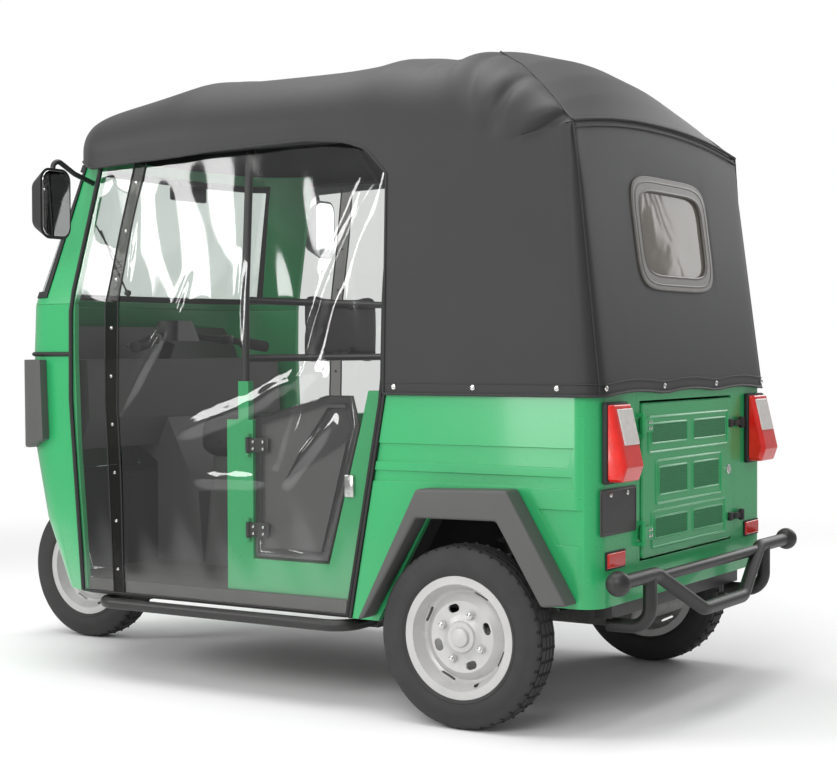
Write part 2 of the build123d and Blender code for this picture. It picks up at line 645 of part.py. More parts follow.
def roof_section(bow, inset, drop, shift):
    """Cross-section of the roof at one bow, set in from the outer face."""
    half = bow.half - inset
    low = bow.low - drop
    shoulder = (bow.shoulder_y - inset / 2, bow.shoulder_z - inset)
    eave = (half, bow.eave)
    middle = ((half + shoulder[0]) / 2 + bow.bulge * 0.6, (eave[1] + shoulder[1]) / 2 + bow.bulge)
    plane = Plane((REAR_AXLE_X + bow.x + shift, 0, 0), x_dir=(0, 1, 0), z_dir=(1, 0, 0))
    with BuildSketch(plane, mode=Mode.PRIVATE) as section:
        with BuildLine():
            Line((half, low), eave)
            ThreePointArc(eave, middle, shoulder)
            ThreePointArc(shoulder, (0, bow.crown - inset), (-shoulder[0], shoulder[1]))
            ThreePointArc((-shoulder[0], shoulder[1]), (-middle[0], middle[1]), (-half, eave[1]))
            Line((-half, eave[1]), (-half, low))
            Line((-half, low), (half, low))
        make_face()
    return section.sketch


def hood_box_section(z, inset, open_front):
    """Plan of the soft top's rear part at one height, leaning in towards the eaves."""
    rise = (z - HEM_Z) / (EAVES_Z - HEM_Z)
    half = REAR_HALF_LOW + rise * (REAR_HALF_HIGH - REAR_HALF_LOW) - inset
    rear_x = HOOD_REAR_LOW_X + rise * (HOOD_REAR_HIGH_X - HOOD_REAR_LOW_X) + inset
    front_x = EDGE_TOP_X - 2 - rise * 22 + open_front
    with BuildSketch(Plane.XY.offset(z), mode=Mode.PRIVATE) as plan:
        with BuildLine():
            Polyline((front_x, half), (rear_x, half), (rear_x, -half), (front_x, -half), close=True)
        make_face()
        fillet(plan.vertices().sort_by(Axis.X)[:2], REAR_CORNER_RADIUS + CLOTH - rise * 36 - inset)
    return plan.sketch


def add_hood_volume(inset, drop, mode):
    """Whole volume under the soft top at one inset."""
    with BuildPart(mode=Mode.PRIVATE) as volume:
        sections = [
            roof_section(bow, inset, drop, -inset if bow is ROOF[0] else inset if bow is ROOF[-1] else 0)
            for bow in ROOF
        ]
        loft(sections, ruled=True)
        hood_levels = (HEM_Z - drop, EAVES_Z)
        loft([hood_box_section(z, inset, drop) for z in hood_levels], ruled=True)
    add(volume.part, mode=mode)


HOOD_LEAN = (HOOD_REAR_HIGH_X - HOOD_REAR_LOW_X) / (EAVES_Z - HEM_Z)


def rear_window_outline(margin):
    """Rounded rear window outline, drawn in the YZ plane."""
    with BuildSketch(Plane.YZ.offset(HOOD_REAR_LOW_X - 50), mode=Mode.PRIVATE) as outline:
        with Locations((0, (REAR_WINDOW_LOW + REAR_WINDOW_HIGH) / 2)):
            RectangleRounded(
                REAR_WINDOW_WIDTH - 2 * margin, REAR_WINDOW_HIGH - REAR_WINDOW_LOW - 2 * margin, 50 - margin
            )
    return outline.sketch


with BuildPart() as soft_top:
    add_hood_volume(0, 0, Mode.ADD)
    add_hood_volume(CLOTH, 70, Mode.SUBTRACT)
    extrude(rear_window_outline(0), amount=300, mode=Mode.SUBTRACT)
save(soft_top, "soft_top")

with BuildPart() as rear_window:
    pane = [
        (HOOD_REAR_LOW_X + HOOD_LEAN * (REAR_WINDOW_LOW - 40 - HEM_Z) + 3, REAR_WINDOW_LOW - 40),
        (HOOD_REAR_LOW_X + HOOD_LEAN * (REAR_WINDOW_HIGH + 40 - HEM_Z) + 3, REAR_WINDOW_HIGH + 40),
    ]
    pane_points = [*pane, (pane[1][0] + 5, pane[1][1]), (pane[0][0] + 5, pane[0][1])]
    add_side_plate(side_sketch(pane_points), -REAR_WINDOW_WIDTH, REAR_WINDOW_WIDTH)
    extrude(rear_window_outline(FIT_GAP), amount=300, mode=Mode.INTERSECT)
save(rear_window, "rear_window")

# Clear side curtains, hung from the eaves outside the pillars down to the sills.
CURTAIN = 3.0
CURTAIN_TOP_Z = 1600.0
CURTAIN_LEAN = 45.0 / (HEADER_Z - COWL_Z)
curtain_front = [(-500, 270), (-452, 859), (-455, COWL_Z), (-548, 1585)]
curtain_points = [(FRONT_AXLE_X + x, z) for x, z in curtain_front] + [
    (B_POST_X, CURTAIN_TOP_Z),
    (REAR_AXLE_X + 440, CURTAIN_TOP_Z),
    (REAR_AXLE_X + 310, 1590),
    (EDGE_TOP_X - 4, 1540),
    (EDGE_TOP_X + 14, WAIST_Z),
    (EDGE_FOOT_X + 14, 270),
]
for name, side in SIDES.items():
    with BuildPart() as curtain:
        near_y = HALF_BODY + FIT_GAP
        bend_y = near_y - CURTAIN_LEAN * (CURTAIN_TOP_Z + 10 - COWL_Z)
        profile = [
            (near_y, 250),
            (near_y, COWL_Z),
            (bend_y, CURTAIN_TOP_Z + 10),
            (bend_y + CURTAIN, CURTAIN_TOP_Z + 10),
            (near_y + CURTAIN, COWL_Z),
            (near_y + CURTAIN, 250),
        ]
        with BuildSketch(Plane.YZ.offset(EDGE_TOP_X - 50), mode=Mode.PRIVATE) as slab:
            with BuildLine():
                Polyline(*[(side * y, z) for y, z in profile], close=True)
            make_face()
        extrude(slab.sketch, amount=FRONT_AXLE_X - EDGE_TOP_X, dir=(1, 0, 0))
        low_y, high_y = sorted((side * (HALF_BODY - 100), side * (HALF_BODY + 20)))
        add_side_plate(side_sketch(curtain_points), low_y, high_y, Mode.INTERSECT)
    save(curtain, f"curtain_{name}")

# Hood frame: B-post hoop, bows, eaves rails and the two rails behind the driver.
HOOP_Y = SIDE_OUT_Y - 13
HOOP_LEAN_Y = HOOP_Y - 25
RAIL_ZS = (990.0, 1160.0)
EAVES_RAIL_Z = 1610.0
EAVES_RAIL = [(WHEELBASE - 569, 528), (325, 534), (-190, 520)]
EAVES_RAIL_BEND = 300.0
HOOP_BEND = 90.0
BOW_RADIUS = HOOP_RADIUS - 2
BOW_FOOT_Y = 532.0
BOW_TOP_Y = 272.0
BOW_DROP = 70.0
BOW_BEND = 110.0
hoop = [(HOOP_Y, B_TOP_Z + FIT_GAP), (HOOP_Y, COWL_Z), (HOOP_LEAN_Y, 1600), (275, 1818)]
with BuildPart() as hood_frame:
    hoop_points = [(B_POST_X, y, z) for y, z in hoop] + [(B_POST_X, -y, z) for y, z in reversed(hoop)]
    add_tube(hoop_points, HOOP_RADIUS, HOOP_BEND)
    for z in RAIL_ZS:
        add_tube([(B_POST_X, -HOOP_Y, z), (B_POST_X, HOOP_Y, z)], HOOP_RADIUS - 1, 0)
    for side in SIDES.values():
        eaves_rail = [(REAR_AXLE_X + x, side * y, EAVES_RAIL_Z) for x, y in EAVES_RAIL]
        add_tube(eaves_rail, BOW_RADIUS, EAVES_RAIL_BEND)
    for bow in (ROOF[4], ROOF[6], ROOF[8]):
        half_bow = [(BOW_FOOT_Y, EAVES_RAIL_Z), (BOW_TOP_Y, bow.crown - BOW_DROP)]
        x = REAR_AXLE_X + bow.x
        whole_bow = [(x, y, z) for y, z in half_bow] + [(x, -y, z) for y, z in reversed(half_bow)]
        add_tube(whole_bow, BOW_RADIUS, BOW_BEND)
save(hood_frame, "hood_frame")

# Partition behind the driver, with its stepped pressing: each step stands further to the rear.
PARTITION_FRONT = 8.0
Step = namedtuple("Step", "near far half foot head")
PARTITION_STEPS = [Step(12, 24, 380, 130, 90), Step(24, 32, 300, 200, 150)]
with BuildPart() as partition:
    wall_y = SIDE_IN_Y - FIT_GAP
    wall_x = B_POST_X - PARTITION_STEPS[0].near
    add_box((wall_x, -wall_y, FLOOR_Z + FIT_GAP), (B_POST_X + PARTITION_FRONT, wall_y, B_SHOULDER_Z))
    for step in PARTITION_STEPS:
        low = (B_POST_X - step.far, -step.half, FLOOR_Z + step.foot)
        add_box(low, (B_POST_X - step.near, step.half, B_SHOULDER_Z - step.head))
save(partition, "partition")

# Driver's seat.
DRIVER_X = B_POST_X + 320
SEAT_BASE_LENGTH = 330.0
SEAT_BASE_WIDTH = 360.0
SEAT_BASE_TOP_LENGTH = 290.0
SEAT_BASE_TOP_WIDTH = 330.0
SEAT_BASE_CORNER = 30.0
SEAT_BASE_SHIFT = 10.0
SEAT_BASE_Z = 668.0
CUSHION_REAR = 190.0
CUSHION_FRONT = 170.0
CUSHION_HALF = 215.0
CUSHION_Z = 800.0
CUSHION_ROUND = 38.0
BACKREST_HALF = 190.0
BACKREST_LOW_Z = 965.0
BACKREST_HIGH_Z = 1195.0
BACKREST_THICK = 70.0
BACKREST_ROUND = 24.0
with BuildPart() as driver_seat_base:
    with BuildSketch(Plane.XY.offset(FLOOR_Z + FIT_GAP)):
        with Locations((DRIVER_X, 0)):
            RectangleRounded(SEAT_BASE_LENGTH, SEAT_BASE_WIDTH, SEAT_BASE_CORNER)
    with BuildSketch(Plane.XY.offset(SEAT_BASE_Z)):
        with Locations((DRIVER_X - SEAT_BASE_SHIFT, 0)):
            RectangleRounded(SEAT_BASE_TOP_LENGTH, SEAT_BASE_TOP_WIDTH, SEAT_BASE_CORNER)
    loft(ruled=True)
save(driver_seat_base, "driver_seat_base")

with BuildPart() as driver_cushion:
    low = (DRIVER_X - CUSHION_REAR, -CUSHION_HALF, SEAT_BASE_Z + FIT_GAP)
    add_box(low, (DRIVER_X + CUSHION_FRONT, CUSHION_HALF, CUSHION_Z))
    fillet(driver_cushion.edges(), CUSHION_ROUND)
save(driver_cushion, "driver_cushion")

with BuildPart() as driver_backrest:
    back_x = B_POST_X + HOOP_RADIUS - 1 + FIT_GAP
    low = (back_x, -BACKREST_HALF, BACKREST_LOW_Z)
    add_box(low, (back_x + BACKREST_THICK, BACKREST_HALF, BACKREST_HIGH_Z))
    fillet(driver_backrest.edges().filter_by(GeomType.LINE), BACKREST_ROUND)
save(driver_backrest, "driver_backrest")

# Passenger seat on its bulkhead over the engine.
DECK_Z = 660.0
BENCH_HALF = 525.0
BENCH_REAR = 150.0
BENCH_LIP = 15.0
BENCH_THICK = 125.0
BENCH_ROUND = 36.0
BENCH_BACK_HALF = 515.0
BENCH_BACK_Z = 1250.0
BENCH_BACK_CORNER = 30.0
BENCH_BACK_ROUND = 25.0
with BuildPart() as seat_bulkhead:
    wall_y = SIDE_IN_Y - FIT_GAP
    add_box((SEAT_WALL_X - PANEL, -wall_y, FLOOR_Z + FIT_GAP), (SEAT_WALL_X, wall_y, DECK_Z))
    add_box((REAR_FACE_X + PANEL + 6, -wall_y, DECK_Z - PANEL), (SEAT_WALL_X, wall_y, DECK_Z))
    extrude(rear_plan(PANEL + 5, 0), amount=DECK_Z + 10, mode=Mode.INTERSECT)
save(seat_bulkhead, "seat_bulkhead")

with BuildPart() as passenger_cushion:
    low = (REAR_AXLE_X - BENCH_REAR, -BENCH_HALF, DECK_Z + FIT_GAP)
    add_box(low, (SEAT_WALL_X + BENCH_LIP, BENCH_HALF, DECK_Z + BENCH_THICK))
    fillet(passenger_cushion.edges(), BENCH_ROUND)
save(passenger_cushion, "passenger_cushion")

with BuildPart() as passenger_backrest:
    back_foot = [(-155, DECK_Z + FIT_GAP), (-262, DECK_Z + FIT_GAP)]
    back_head = [(-312, BENCH_BACK_Z), (-230, BENCH_BACK_Z)]
    back_points = rear_points(back_foot + back_head)
    back_outline = side_sketch(back_points, BENCH_BACK_CORNER, back_points[2:])
    add_side_plate(back_outline, -BENCH_BACK_HALF, BENCH_BACK_HALF)
    fillet(passenger_backrest.faces().sort_by(Axis.Y)[0].edges(), BENCH_BACK_ROUND)
    fillet(passenger_backrest.faces().sort_by(Axis.Y)[-1].edges(), BENCH_BACK_ROUND)
save(passenger_backrest, "passenger_backrest")

# Black edge bands on the quarters, where the curtains end.
BAND_WIDTH = 12.0
BAND_PROUD = 6.0
BAND_TOP_Z = WAIST_Z - 14


def edge_point(z, ahead):
    """Point at one height on the raked front edge of the quarter, moved ahead of it."""
    rise = (z - SILL_Z) / (WAIST_Z - SILL_Z)
    return (EDGE_FOOT_X + rise * (EDGE_TOP_X - EDGE_FOOT_X) + ahead, z)


with BuildPart() as edge_bands:
    for side in SIDES.values():
        low_y, high_y = sorted((side * (INNER_Y + FIT_GAP), side * (HALF_BODY + BAND_PROUD)))
        band_points = [
            edge_point(SILL_Z, FIT_GAP),
            edge_point(BAND_TOP_Z, FIT_GAP),
            edge_point(BAND_TOP_Z, BAND_WIDTH),
            edge_point(SILL_Z, BAND_WIDTH),
        ]
        add_side_plate(side_sketch(band_points), low_y, high_y)
save(edge_bands, "edge_bands")

# Lamps, reflectors and plate on the rear.
LAMP_LOW_Z = 670.0
LAMP_HIGH_Z = 870.0
LAMP_IN_Y = 430.0
LAMP_OUT_Y = 548.0
LAMP_GASKET = 20.0
LAMP_BEVEL = 9.0
LAMP_TOP_DEPTH = 28.0
LAMP_DEPTH = 66.0
LAMP_FOOT_DEPTH = 52.0
LAMP_FOOT_RISE = 40.0
LAMP_CORNER = 12.0
REFLECTOR_IN_Y = 425.0
REFLECTOR_OUT_Y = 530.0
REFLECTOR_LOW_Z = 443.0
REFLECTOR_HIGH_Z = 483.0
REFLECTOR_THICK = 8.0
REFLECTOR_BEVEL = 3.0
PLATE_WIDTH = 212.0
PLATE_HEIGHT = 122.0
PLATE_Y = 458.0
PLATE_Z = 590.0
PLATE_HOLE = 3.0
PLATE_HOLE_Y = 50.0
PLATE_HOLE_Z = 44.0
PLATE_THICK = 3.0
PLATE_CORNER = 8.0
with BuildPart() as tail_lamps:
    for side in SIDES.values():
        low_y, high_y = sorted((side * LAMP_IN_Y, side * LAMP_OUT_Y))
        face_x = REAR_FACE_X - FIT_GAP
        lamp_points = [
            (face_x, LAMP_LOW_Z),
            (face_x, LAMP_HIGH_Z),
            (face_x - LAMP_TOP_DEPTH, LAMP_HIGH_Z),
            (face_x - LAMP_DEPTH, LAMP_LOW_Z + LAMP_FOOT_RISE),
            (face_x - LAMP_FOOT_DEPTH, LAMP_LOW_Z),
        ]
        add_side_plate(side_sketch(lamp_points, LAMP_CORNER, lamp_points[2:]), low_y, high_y)
    lamp_sides = tail_lamps.faces().filter_by(Axis.Y)
    chamfer([edge for edge in lamp_sides.edges() if edge.center().X < REAR_FACE_X - LAMP_GASKET], LAMP_BEVEL)
save(tail_lamps, "tail_lamps")

with BuildPart() as rear_reflectors:
    for side in SIDES.values():
        low_y, high_y = sorted((side * REFLECTOR_IN_Y, side * REFLECTOR_OUT_Y))
        face_x = REAR_FACE_X - FIT_GAP
        add_box((face_x - REFLECTOR_THICK, low_y, REFLECTOR_LOW_Z), (face_x, high_y, REFLECTOR_HIGH_Z))
    chamfer(rear_reflectors.faces().group_by(Axis.X)[0].edges(), REFLECTOR_BEVEL)
save(rear_reflectors, "rear_reflectors")

with BuildPart() as number_plate:
    with BuildSketch(Plane.YZ.offset(REAR_FACE_X - FIT_GAP)):
        with Locations((PLATE_Y, PLATE_Z)):
            RectangleRounded(PLATE_WIDTH, PLATE_HEIGHT, PLATE_CORNER)
    extrude(amount=-PLATE_THICK)
    with Locations(Plane.YZ.offset(REAR_FACE_X - FIT_GAP - PLATE_THICK)):
        for side in SIDES.values():
            with Locations((PLATE_Y + side * PLATE_HOLE_Y, PLATE_Z + PLATE_HOLE_Z)):
                Cylinder(PLATE_HOLE, 4 * PLATE_THICK, mode=Mode.SUBTRACT)
save(number_plate, "number_plate")

# Rear bumper and the two step tubes.
BUMPER_X = REAR_END_X + 58
BUMPER_Z = 419.0
BUMPER_HALF = 602.0
BUMPER_LEG_Y = 410.0
BUMPER_BEND = 70.0
BUMPER_LEG_BEND = 55.0
BUMPER_SHOULDER_Y = 372.0
BUMPER_DIP_Y = 145.0
BUMPER_DIP_Z = 300.0
BUMPER_TIE_Y = 350.0
STEP_BEND = 70.0
with BuildPart() as rear_bumper:
    half_bumper = [(BUMPER_X, BUMPER_HALF, BUMPER_Z), (BUMPER_X, BUMPER_SHOULDER_Y, BUMPER_Z)]
    half_bumper.append((REAR_END_X + BUMPER_RADIUS, BUMPER_DIP_Y, BUMPER_DIP_Z))
    bumper_points = half_bumper + [(x, -y, z) for x, y, z in reversed(half_bumper)]
    add_tube(bumper_points, BUMPER_RADIUS, BUMPER_BEND)
    tie = [(BUMPER_X, -BUMPER_TIE_Y, BUMPER_Z - 10), (BUMPER_X, BUMPER_TIE_Y, BUMPER_Z - 10)]
    add_tube(tie, BUMPER_RADIUS - 4, 0)
    for side in SIDES.values():
        with Locations((BUMPER_X, side * BUMPER_HALF, BUMPER_Z)):
            Sphere(BUMPER_BALL)
        leg_z = RAIL_Z - RAIL_DEPTH + KICK_RISE - BUMPER_RADIUS - FIT_GAP
        leg = [(BUMPER_X, BUMPER_Z - 5), (BUMPER_X, leg_z), (RAIL_REAR_X, leg_z)]
        add_tube([(x, side * BUMPER_LEG_Y, z) for x, z in leg], BUMPER_RADIUS, BUMPER_LEG_BEND)
save(rear_bumper, "rear_bumper")

with BuildPart() as step_bars:
    for side in SIDES.values():
        step = [(STEP_FRONT_X, OUTRIGGER_Y + FIT_GAP), (STEP_FRONT_X, STEP_Y), (STEP_REAR_X, STEP_Y)]
        step.append((STEP_REAR_X, OUTRIGGER_Y + FIT_GAP))
        add_tube([(x, side * y, STEP_Z) for x, y in step], STEP_RADIUS, STEP_BEND)
save(step_bars, "step_bars")

# Headlamps wrap round the corners of the nose.
HOUSING_PROUD = 28.0
LENS_PROUD = 5.0
HOUSING_IN_Y = 320.0
LENS_IN_Y = 340.0
LENS_OUT_Y = 500.0
LENS_REAR = 250.0
LENS_LOW_Z = 745.0
LENS_HIGH_Z = 965.0
NOSE_REACH_X = FRONT_AXLE_X + 200
HOUSING_SIDE = [
    Outline(-336, 735),
    Outline(-250, 705),
    Outline(60, 705),
    Outline(60, 985),
    Outline(-330, 985),
]
with BuildPart() as headlamp_housings:
    add_front_shell(NOSE_LEVELS, -HOUSING_PROUD, -FIT_GAP)
    housing_points = [(FRONT_AXLE_X + x, z) for x, z in HOUSING_SIDE]
    add_side_plate(side_sketch(housing_points), -HALF_BODY - 50, HALF_BODY + 50, Mode.INTERSECT)
    add_box((0, -HOUSING_IN_Y, 0), (NOSE_REACH_X, HOUSING_IN_Y, HEADER_Z), Mode.SUBTRACT)
save(headlamp_housings, "headlamp_housings")

with BuildPart() as headlamp_lenses:
    add_front_shell(NOSE_LEVELS, -HOUSING_PROUD - LENS_PROUD, -HOUSING_PROUD - FIT_GAP)
    low = (FRONT_AXLE_X - LENS_REAR, -LENS_OUT_Y, LENS_LOW_Z)
    add_box(low, (NOSE_REACH_X, LENS_OUT_Y, LENS_HIGH_Z), Mode.INTERSECT)
    add_box((0, -LENS_IN_Y, 0), (NOSE_REACH_X, LENS_IN_Y, HEADER_Z), Mode.SUBTRACT)
save(headlamp_lenses, "headlamp_lenses")

# Door mirrors on bent arms.
MIRROR_X = FRONT_AXLE_X - 482
MIRROR_Y = 704.0
MIRROR_Z = 1461.0
MIRROR_WIDTH = 130.0
MIRROR_HEIGHT = 215.0
MIRROR_CORNER = 38.0
MIRROR_FACE = 22.0
MIRROR_BACK = 38.0
MIRROR_BACK_WIDTH = MIRROR_WIDTH - 50
MIRROR_BACK_HEIGHT = MIRROR_HEIGHT - 60
MIRROR_BACK_CORNER = 30.0
MIRROR_BEZEL = 8.0
MIRROR_GLASS = 3.0
GLASS_CORNER = 32.0
MIRROR_ARM_RADIUS = 8.0
MIRROR_ARM_BEND = 20.0
ARM_ROOT_Z = 1535.0
ARM_ROOT_Y = HALF_BODY - CURTAIN_LEAN * (ARM_ROOT_Z - COWL_Z) - 25
with BuildPart() as mirrors:
    for side in SIDES.values():
        arm = [
            (FRONT_AXLE_X - 500, ARM_ROOT_Y, ARM_ROOT_Z),
            (FRONT_AXLE_X - 495, ARM_ROOT_Y + 85, ARM_ROOT_Z + 25),
            (MIRROR_X, MIRROR_Y - 15, ARM_ROOT_Z + 70),
            (MIRROR_X, MIRROR_Y, MIRROR_Z),
        ]
        add_tube([(x, side * y, z) for x, y, z in arm], MIRROR_ARM_RADIUS, MIRROR_ARM_BEND)
        face = Plane((MIRROR_X, side * MIRROR_Y, MIRROR_Z), x_dir=(0, 1, 0), z_dir=(1, 0, 0))
        with BuildSketch(face.offset(-MIRROR_FACE)):
            RectangleRounded(MIRROR_WIDTH, MIRROR_HEIGHT, MIRROR_CORNER)
        with BuildSketch(face.offset(MIRROR_BACK)):
            RectangleRounded(MIRROR_BACK_WIDTH, MIRROR_BACK_HEIGHT, MIRROR_BACK_CORNER)
        loft(ruled=True)
    add_front_core(SCREEN_LEVELS, -FIT_GAP, Mode.SUBTRACT)
save(mirrors, "mirrors")

with BuildPart() as mirror_glasses:
    for side in SIDES.values():
        glass_x = MIRROR_X - MIRROR_FACE - FIT_GAP
        with BuildSketch(Plane((glass_x, side * MIRROR_Y, MIRROR_Z), x_dir=(0, 1, 0), z_dir=(-1, 0, 0))):
            RectangleRounded(MIRROR_WIDTH - 2 * MIRROR_BEZEL, MIRROR_HEIGHT - 2 * MIRROR_BEZEL, GLASS_CORNER)
        extrude(amount=MIRROR_GLASS)
save(mirror_glasses, "mirror_glasses")

# Engine, trailing arms and springs.
ENGINE_HALF = 190.0
ENGINE_REAR = 300.0
ENGINE_FRONT = 60.0
ENGINE_LOW_Z = 235.0
ENGINE_HIGH_Z = 590.0
ENGINE_ROUND = 40.0
ENGINE_FEET = (-240.0, 10.0)
ENGINE_FOOT_HALF = 20.0
with BuildPart() as engine_block:
    low = (REAR_AXLE_X - ENGINE_REAR, -ENGINE_HALF, ENGINE_LOW_Z)
    add_box(low, (REAR_AXLE_X + ENGINE_FRONT, ENGINE_HALF, ENGINE_HIGH_Z))
    fillet(engine_block.edges().filter_by(Axis.Y), ENGINE_ROUND)
    for foot in ENGINE_FEET:
        x = REAR_AXLE_X + foot
        foot_y = RAIL_Y - RAIL_HALF - FIT_GAP
        low = (x - ENGINE_FOOT_HALF, -foot_y, rail_low + KICK_RISE + 5)
        add_box(low, (x + ENGINE_FOOT_HALF, foot_y, rail_high + KICK_RISE - 5))
save(engine_block, "engine_block")

ARM_Y = 445.0
ARM_HALF = 22.0
ARM_Z = AXLE_Z + 15
CARRIER_RADIUS = 48.0
SPRING_X = REAR_AXLE_X - 62
SPRING_RADIUS = 46.0
SPRING_TURNS = 8
SPRING_WIRE = 12.0
SPRING_SEAT = 8.0
SPRING_SEAT_LIP = 6.0
ARM_DEPTH = 28.0
PIVOT_RADIUS = 26.0
with BuildPart() as rear_arms:
    for side in SIDES.values():
        low_y, high_y = sorted((side * (ARM_Y - ARM_HALF), side * (ARM_Y + ARM_HALF)))
        low = (SPRING_X - SPRING_RADIUS, low_y, ARM_Z - ARM_DEPTH)
        add_box(low, (ARM_PIVOT_X, high_y, ARM_Z + ARM_DEPTH))
        plane = Plane((REAR_AXLE_X, low_y, AXLE_Z), z_dir=(0, 1, 0))
        with BuildSketch(plane):
            Circle(CARRIER_RADIUS)
        extrude(amount=high_y - low_y)
        plane = Plane((ARM_PIVOT_X, 0, ARM_Z), z_dir=(0, side, 0))
        with BuildSketch(plane.offset(RAIL_Y + RAIL_HALF + FIT_GAP)):
            Circle(PIVOT_RADIUS)
        extrude(amount=ARM_Y + ARM_HALF - RAIL_Y - RAIL_HALF - FIT_GAP)
        with BuildSketch(Plane((REAR_AXLE_X, 0, AXLE_Z), z_dir=(0, side, 0))):
            Circle(AXLE_RADIUS + FIT_GAP)
        extrude(amount=HALF_BODY, mode=Mode.SUBTRACT)
        with Locations((SPRING_X, side * ARM_Y, ARM_Z + ARM_DEPTH + SPRING_SEAT / 2)):
            Cylinder(SPRING_RADIUS + SPRING_SEAT_LIP, SPRING_SEAT)
save(rear_arms, "rear_arms")

with BuildPart() as rear_springs:
    for side in SIDES.values():
        spring_low = ARM_Z + ARM_DEPTH + SPRING_SEAT + FIT_GAP
        pitch = (DECK_Z - PANEL - FIT_GAP - spring_low) / SPRING_TURNS
        with BuildSketch(Plane((SPRING_X, side * ARM_Y, spring_low), x_dir=(1, 0, 0), z_dir=(0, -1, 0))):
            with BuildLine():
                points = [(0, 0)]
                for turn in range(SPRING_TURNS):
                    coil_low, coil_high, gap_high = turn * pitch, (turn + 0.5) * pitch, (turn + 1) * pitch
                    points += [(SPRING_RADIUS, coil_low), (SPRING_RADIUS, coil_high)]
                    groove_radius = SPRING_RADIUS - SPRING_WIRE
                    points += [(groove_radius, coil_high), (groove_radius, gap_high)]
                points.append((0, SPRING_TURNS * pitch))
                Polyline(*points, close=True)
            make_face()
        revolve(axis=Axis((SPRING_X, side * ARM_Y, 0), (0, 0, 1)))
save(rear_springs, "rear_springs")

# Steering: column and one-sided fork, with the handlebar on top.
FORK_Y = 104.0
FORK_RADIUS = 19.0
FRONT_AXLE_RADIUS = 12.0
CROWN_Z = 540.0
FORK_BEND = 60.0
FORK_EYE_RADIUS = FORK_RADIUS + 6
FORK_EYE_HALF = 24.0
FRONT_AXLE_TIP = 12.0
with BuildPart() as fork:
    add_steer_cylinder(CROWN_Z, HANDLEBAR_Z - COLUMN_RADIUS * sin(radians(STEER_RAKE)), COLUMN_RADIUS)
    crown = steer_point(CROWN_Z)
    leg = [
        (crown[0], 0, CROWN_Z + 10),
        (crown[0] + 14, -FORK_Y, CROWN_Z - 16),
        (FRONT_AXLE_X, -FORK_Y, AXLE_Z),
    ]
    add_tube(leg, FORK_RADIUS, FORK_BEND)
    with BuildSketch(Plane((FRONT_AXLE_X, -FORK_Y - FORK_EYE_HALF, AXLE_Z), z_dir=(0, 1, 0))):
        Circle(FORK_EYE_RADIUS)
    extrude(amount=2 * FORK_EYE_HALF)
    with BuildSketch(Plane((FRONT_AXLE_X, -FORK_Y, AXLE_Z), z_dir=(0, 1, 0))):
        Circle(FRONT_AXLE_RADIUS)
    extrude(amount=FORK_Y + FRONT_AXLE_TIP)
save(fork, "fork")

GRIP_RADIUS = 17.0
BAR_RADIUS = 12.0
BAR_BEND = 50.0
# Half of the bar from its middle to its end: distance behind the steering axis, sideways, and above its top.
Bar = namedtuple("Bar", "behind y rise")
BAR_LINE = [Bar(20, 0, 18), Bar(28, 95, 18), Bar(112, 215, 0), Bar(150, 345, -20)]
GRIP_LINE = [Bar(122, 250, -5.4), Bar(150, 345, -20)]
# Instrument pod: distance behind the axis, rise, length, width and corner at its foot and head.
Pod = namedtuple("Pod", "behind rise length width corner")
POD = [Pod(20, FIT_GAP, 120, 170, 35), Pod(24, 70, 80, 120, 30)]
with BuildPart() as handlebar:
    middle_x = steer_point(HANDLEBAR_Z)[0]
    for side in SIDES.values():
        bar_points = [(middle_x - b.behind, side * b.y, HANDLEBAR_Z + b.rise) for b in BAR_LINE]
        add_tube(bar_points, BAR_RADIUS, BAR_BEND)
        add_tube([(middle_x - b.behind, side * b.y, HANDLEBAR_Z + b.rise) for b in GRIP_LINE], GRIP_RADIUS, 0)
    for pod in POD:
        with BuildSketch(Plane((middle_x - pod.behind, 0, HANDLEBAR_Z + pod.rise))):
            RectangleRounded(pod.length, pod.width, pod.corner)
    loft(ruled=True)
save(handlebar, "handlebar")

# Wheels: pressed steel discs and plain tyres, turned about their axles.
RIM_HALF = 48.0
FLANGE = 4.0
RIM_WALL = 7.0
DISC_HOLES = 4
HOLE_CIRCLE = 79.0
HOLE_ANGLE = 20.0
SLOT_CIRCLE = 122.0
BOSS_CIRCLE = 66.0
BOSS_RADIUS = 13.0
BOSS_FOOT = 16.0
BOSS_HEIGHT = 14.0
BOSS_TAPER = 12.0
HOLE_LENGTH = 34.0
HOLE_WIDTH = 22.0
SLOT_LENGTH = 46.0
SLOT_WIDTH = 6.0
CUT_DEPTH = 60.0
BORE_BACK = 40.0
BORE_FRONT = 20.0
WELL_RADIUS = RIM_SEAT_RADIUS - RIM_WALL
# Section of the wheel's disc, from its outer edge in to the hub and back out: distance out and radius.
Disc = namedtuple("Disc", "out radius")
DISC = [
    Disc(16, WELL_RADIUS - 14),
    Disc(8, 118),
    Disc(26, 96),
    Disc(22, 62),
    Disc(30, 44),
    Disc(36, 40),
    Disc(36, 0),
    Disc(-30, 0),
    Disc(-30, 46),
    Disc(16, 56),
    Disc(18, 92),
    Disc(0, 116),
    Disc(6, WELL_RADIUS - 8),
    Disc(-20, WELL_RADIUS - 2),
]
BEAD_INSET = 4.0
WALL_RISE = 36.0
SHOULDER_INSET = 9.0
SHOULDER_DROP = 8.0
Wheel = namedtuple("Wheel", "name x y face shaft_end bore")
WHEELS = [
    Wheel("front", FRONT_AXLE_X, 0, 1, None, FRONT_AXLE_RADIUS + 0.05),
    Wheel("rear_left", REAR_AXLE_X, WHEEL_Y, 1, ENGINE_HALF + 5, None),
    Wheel("rear_right", REAR_AXLE_X, -WHEEL_Y, -1, ENGINE_HALF + 5, None),
]
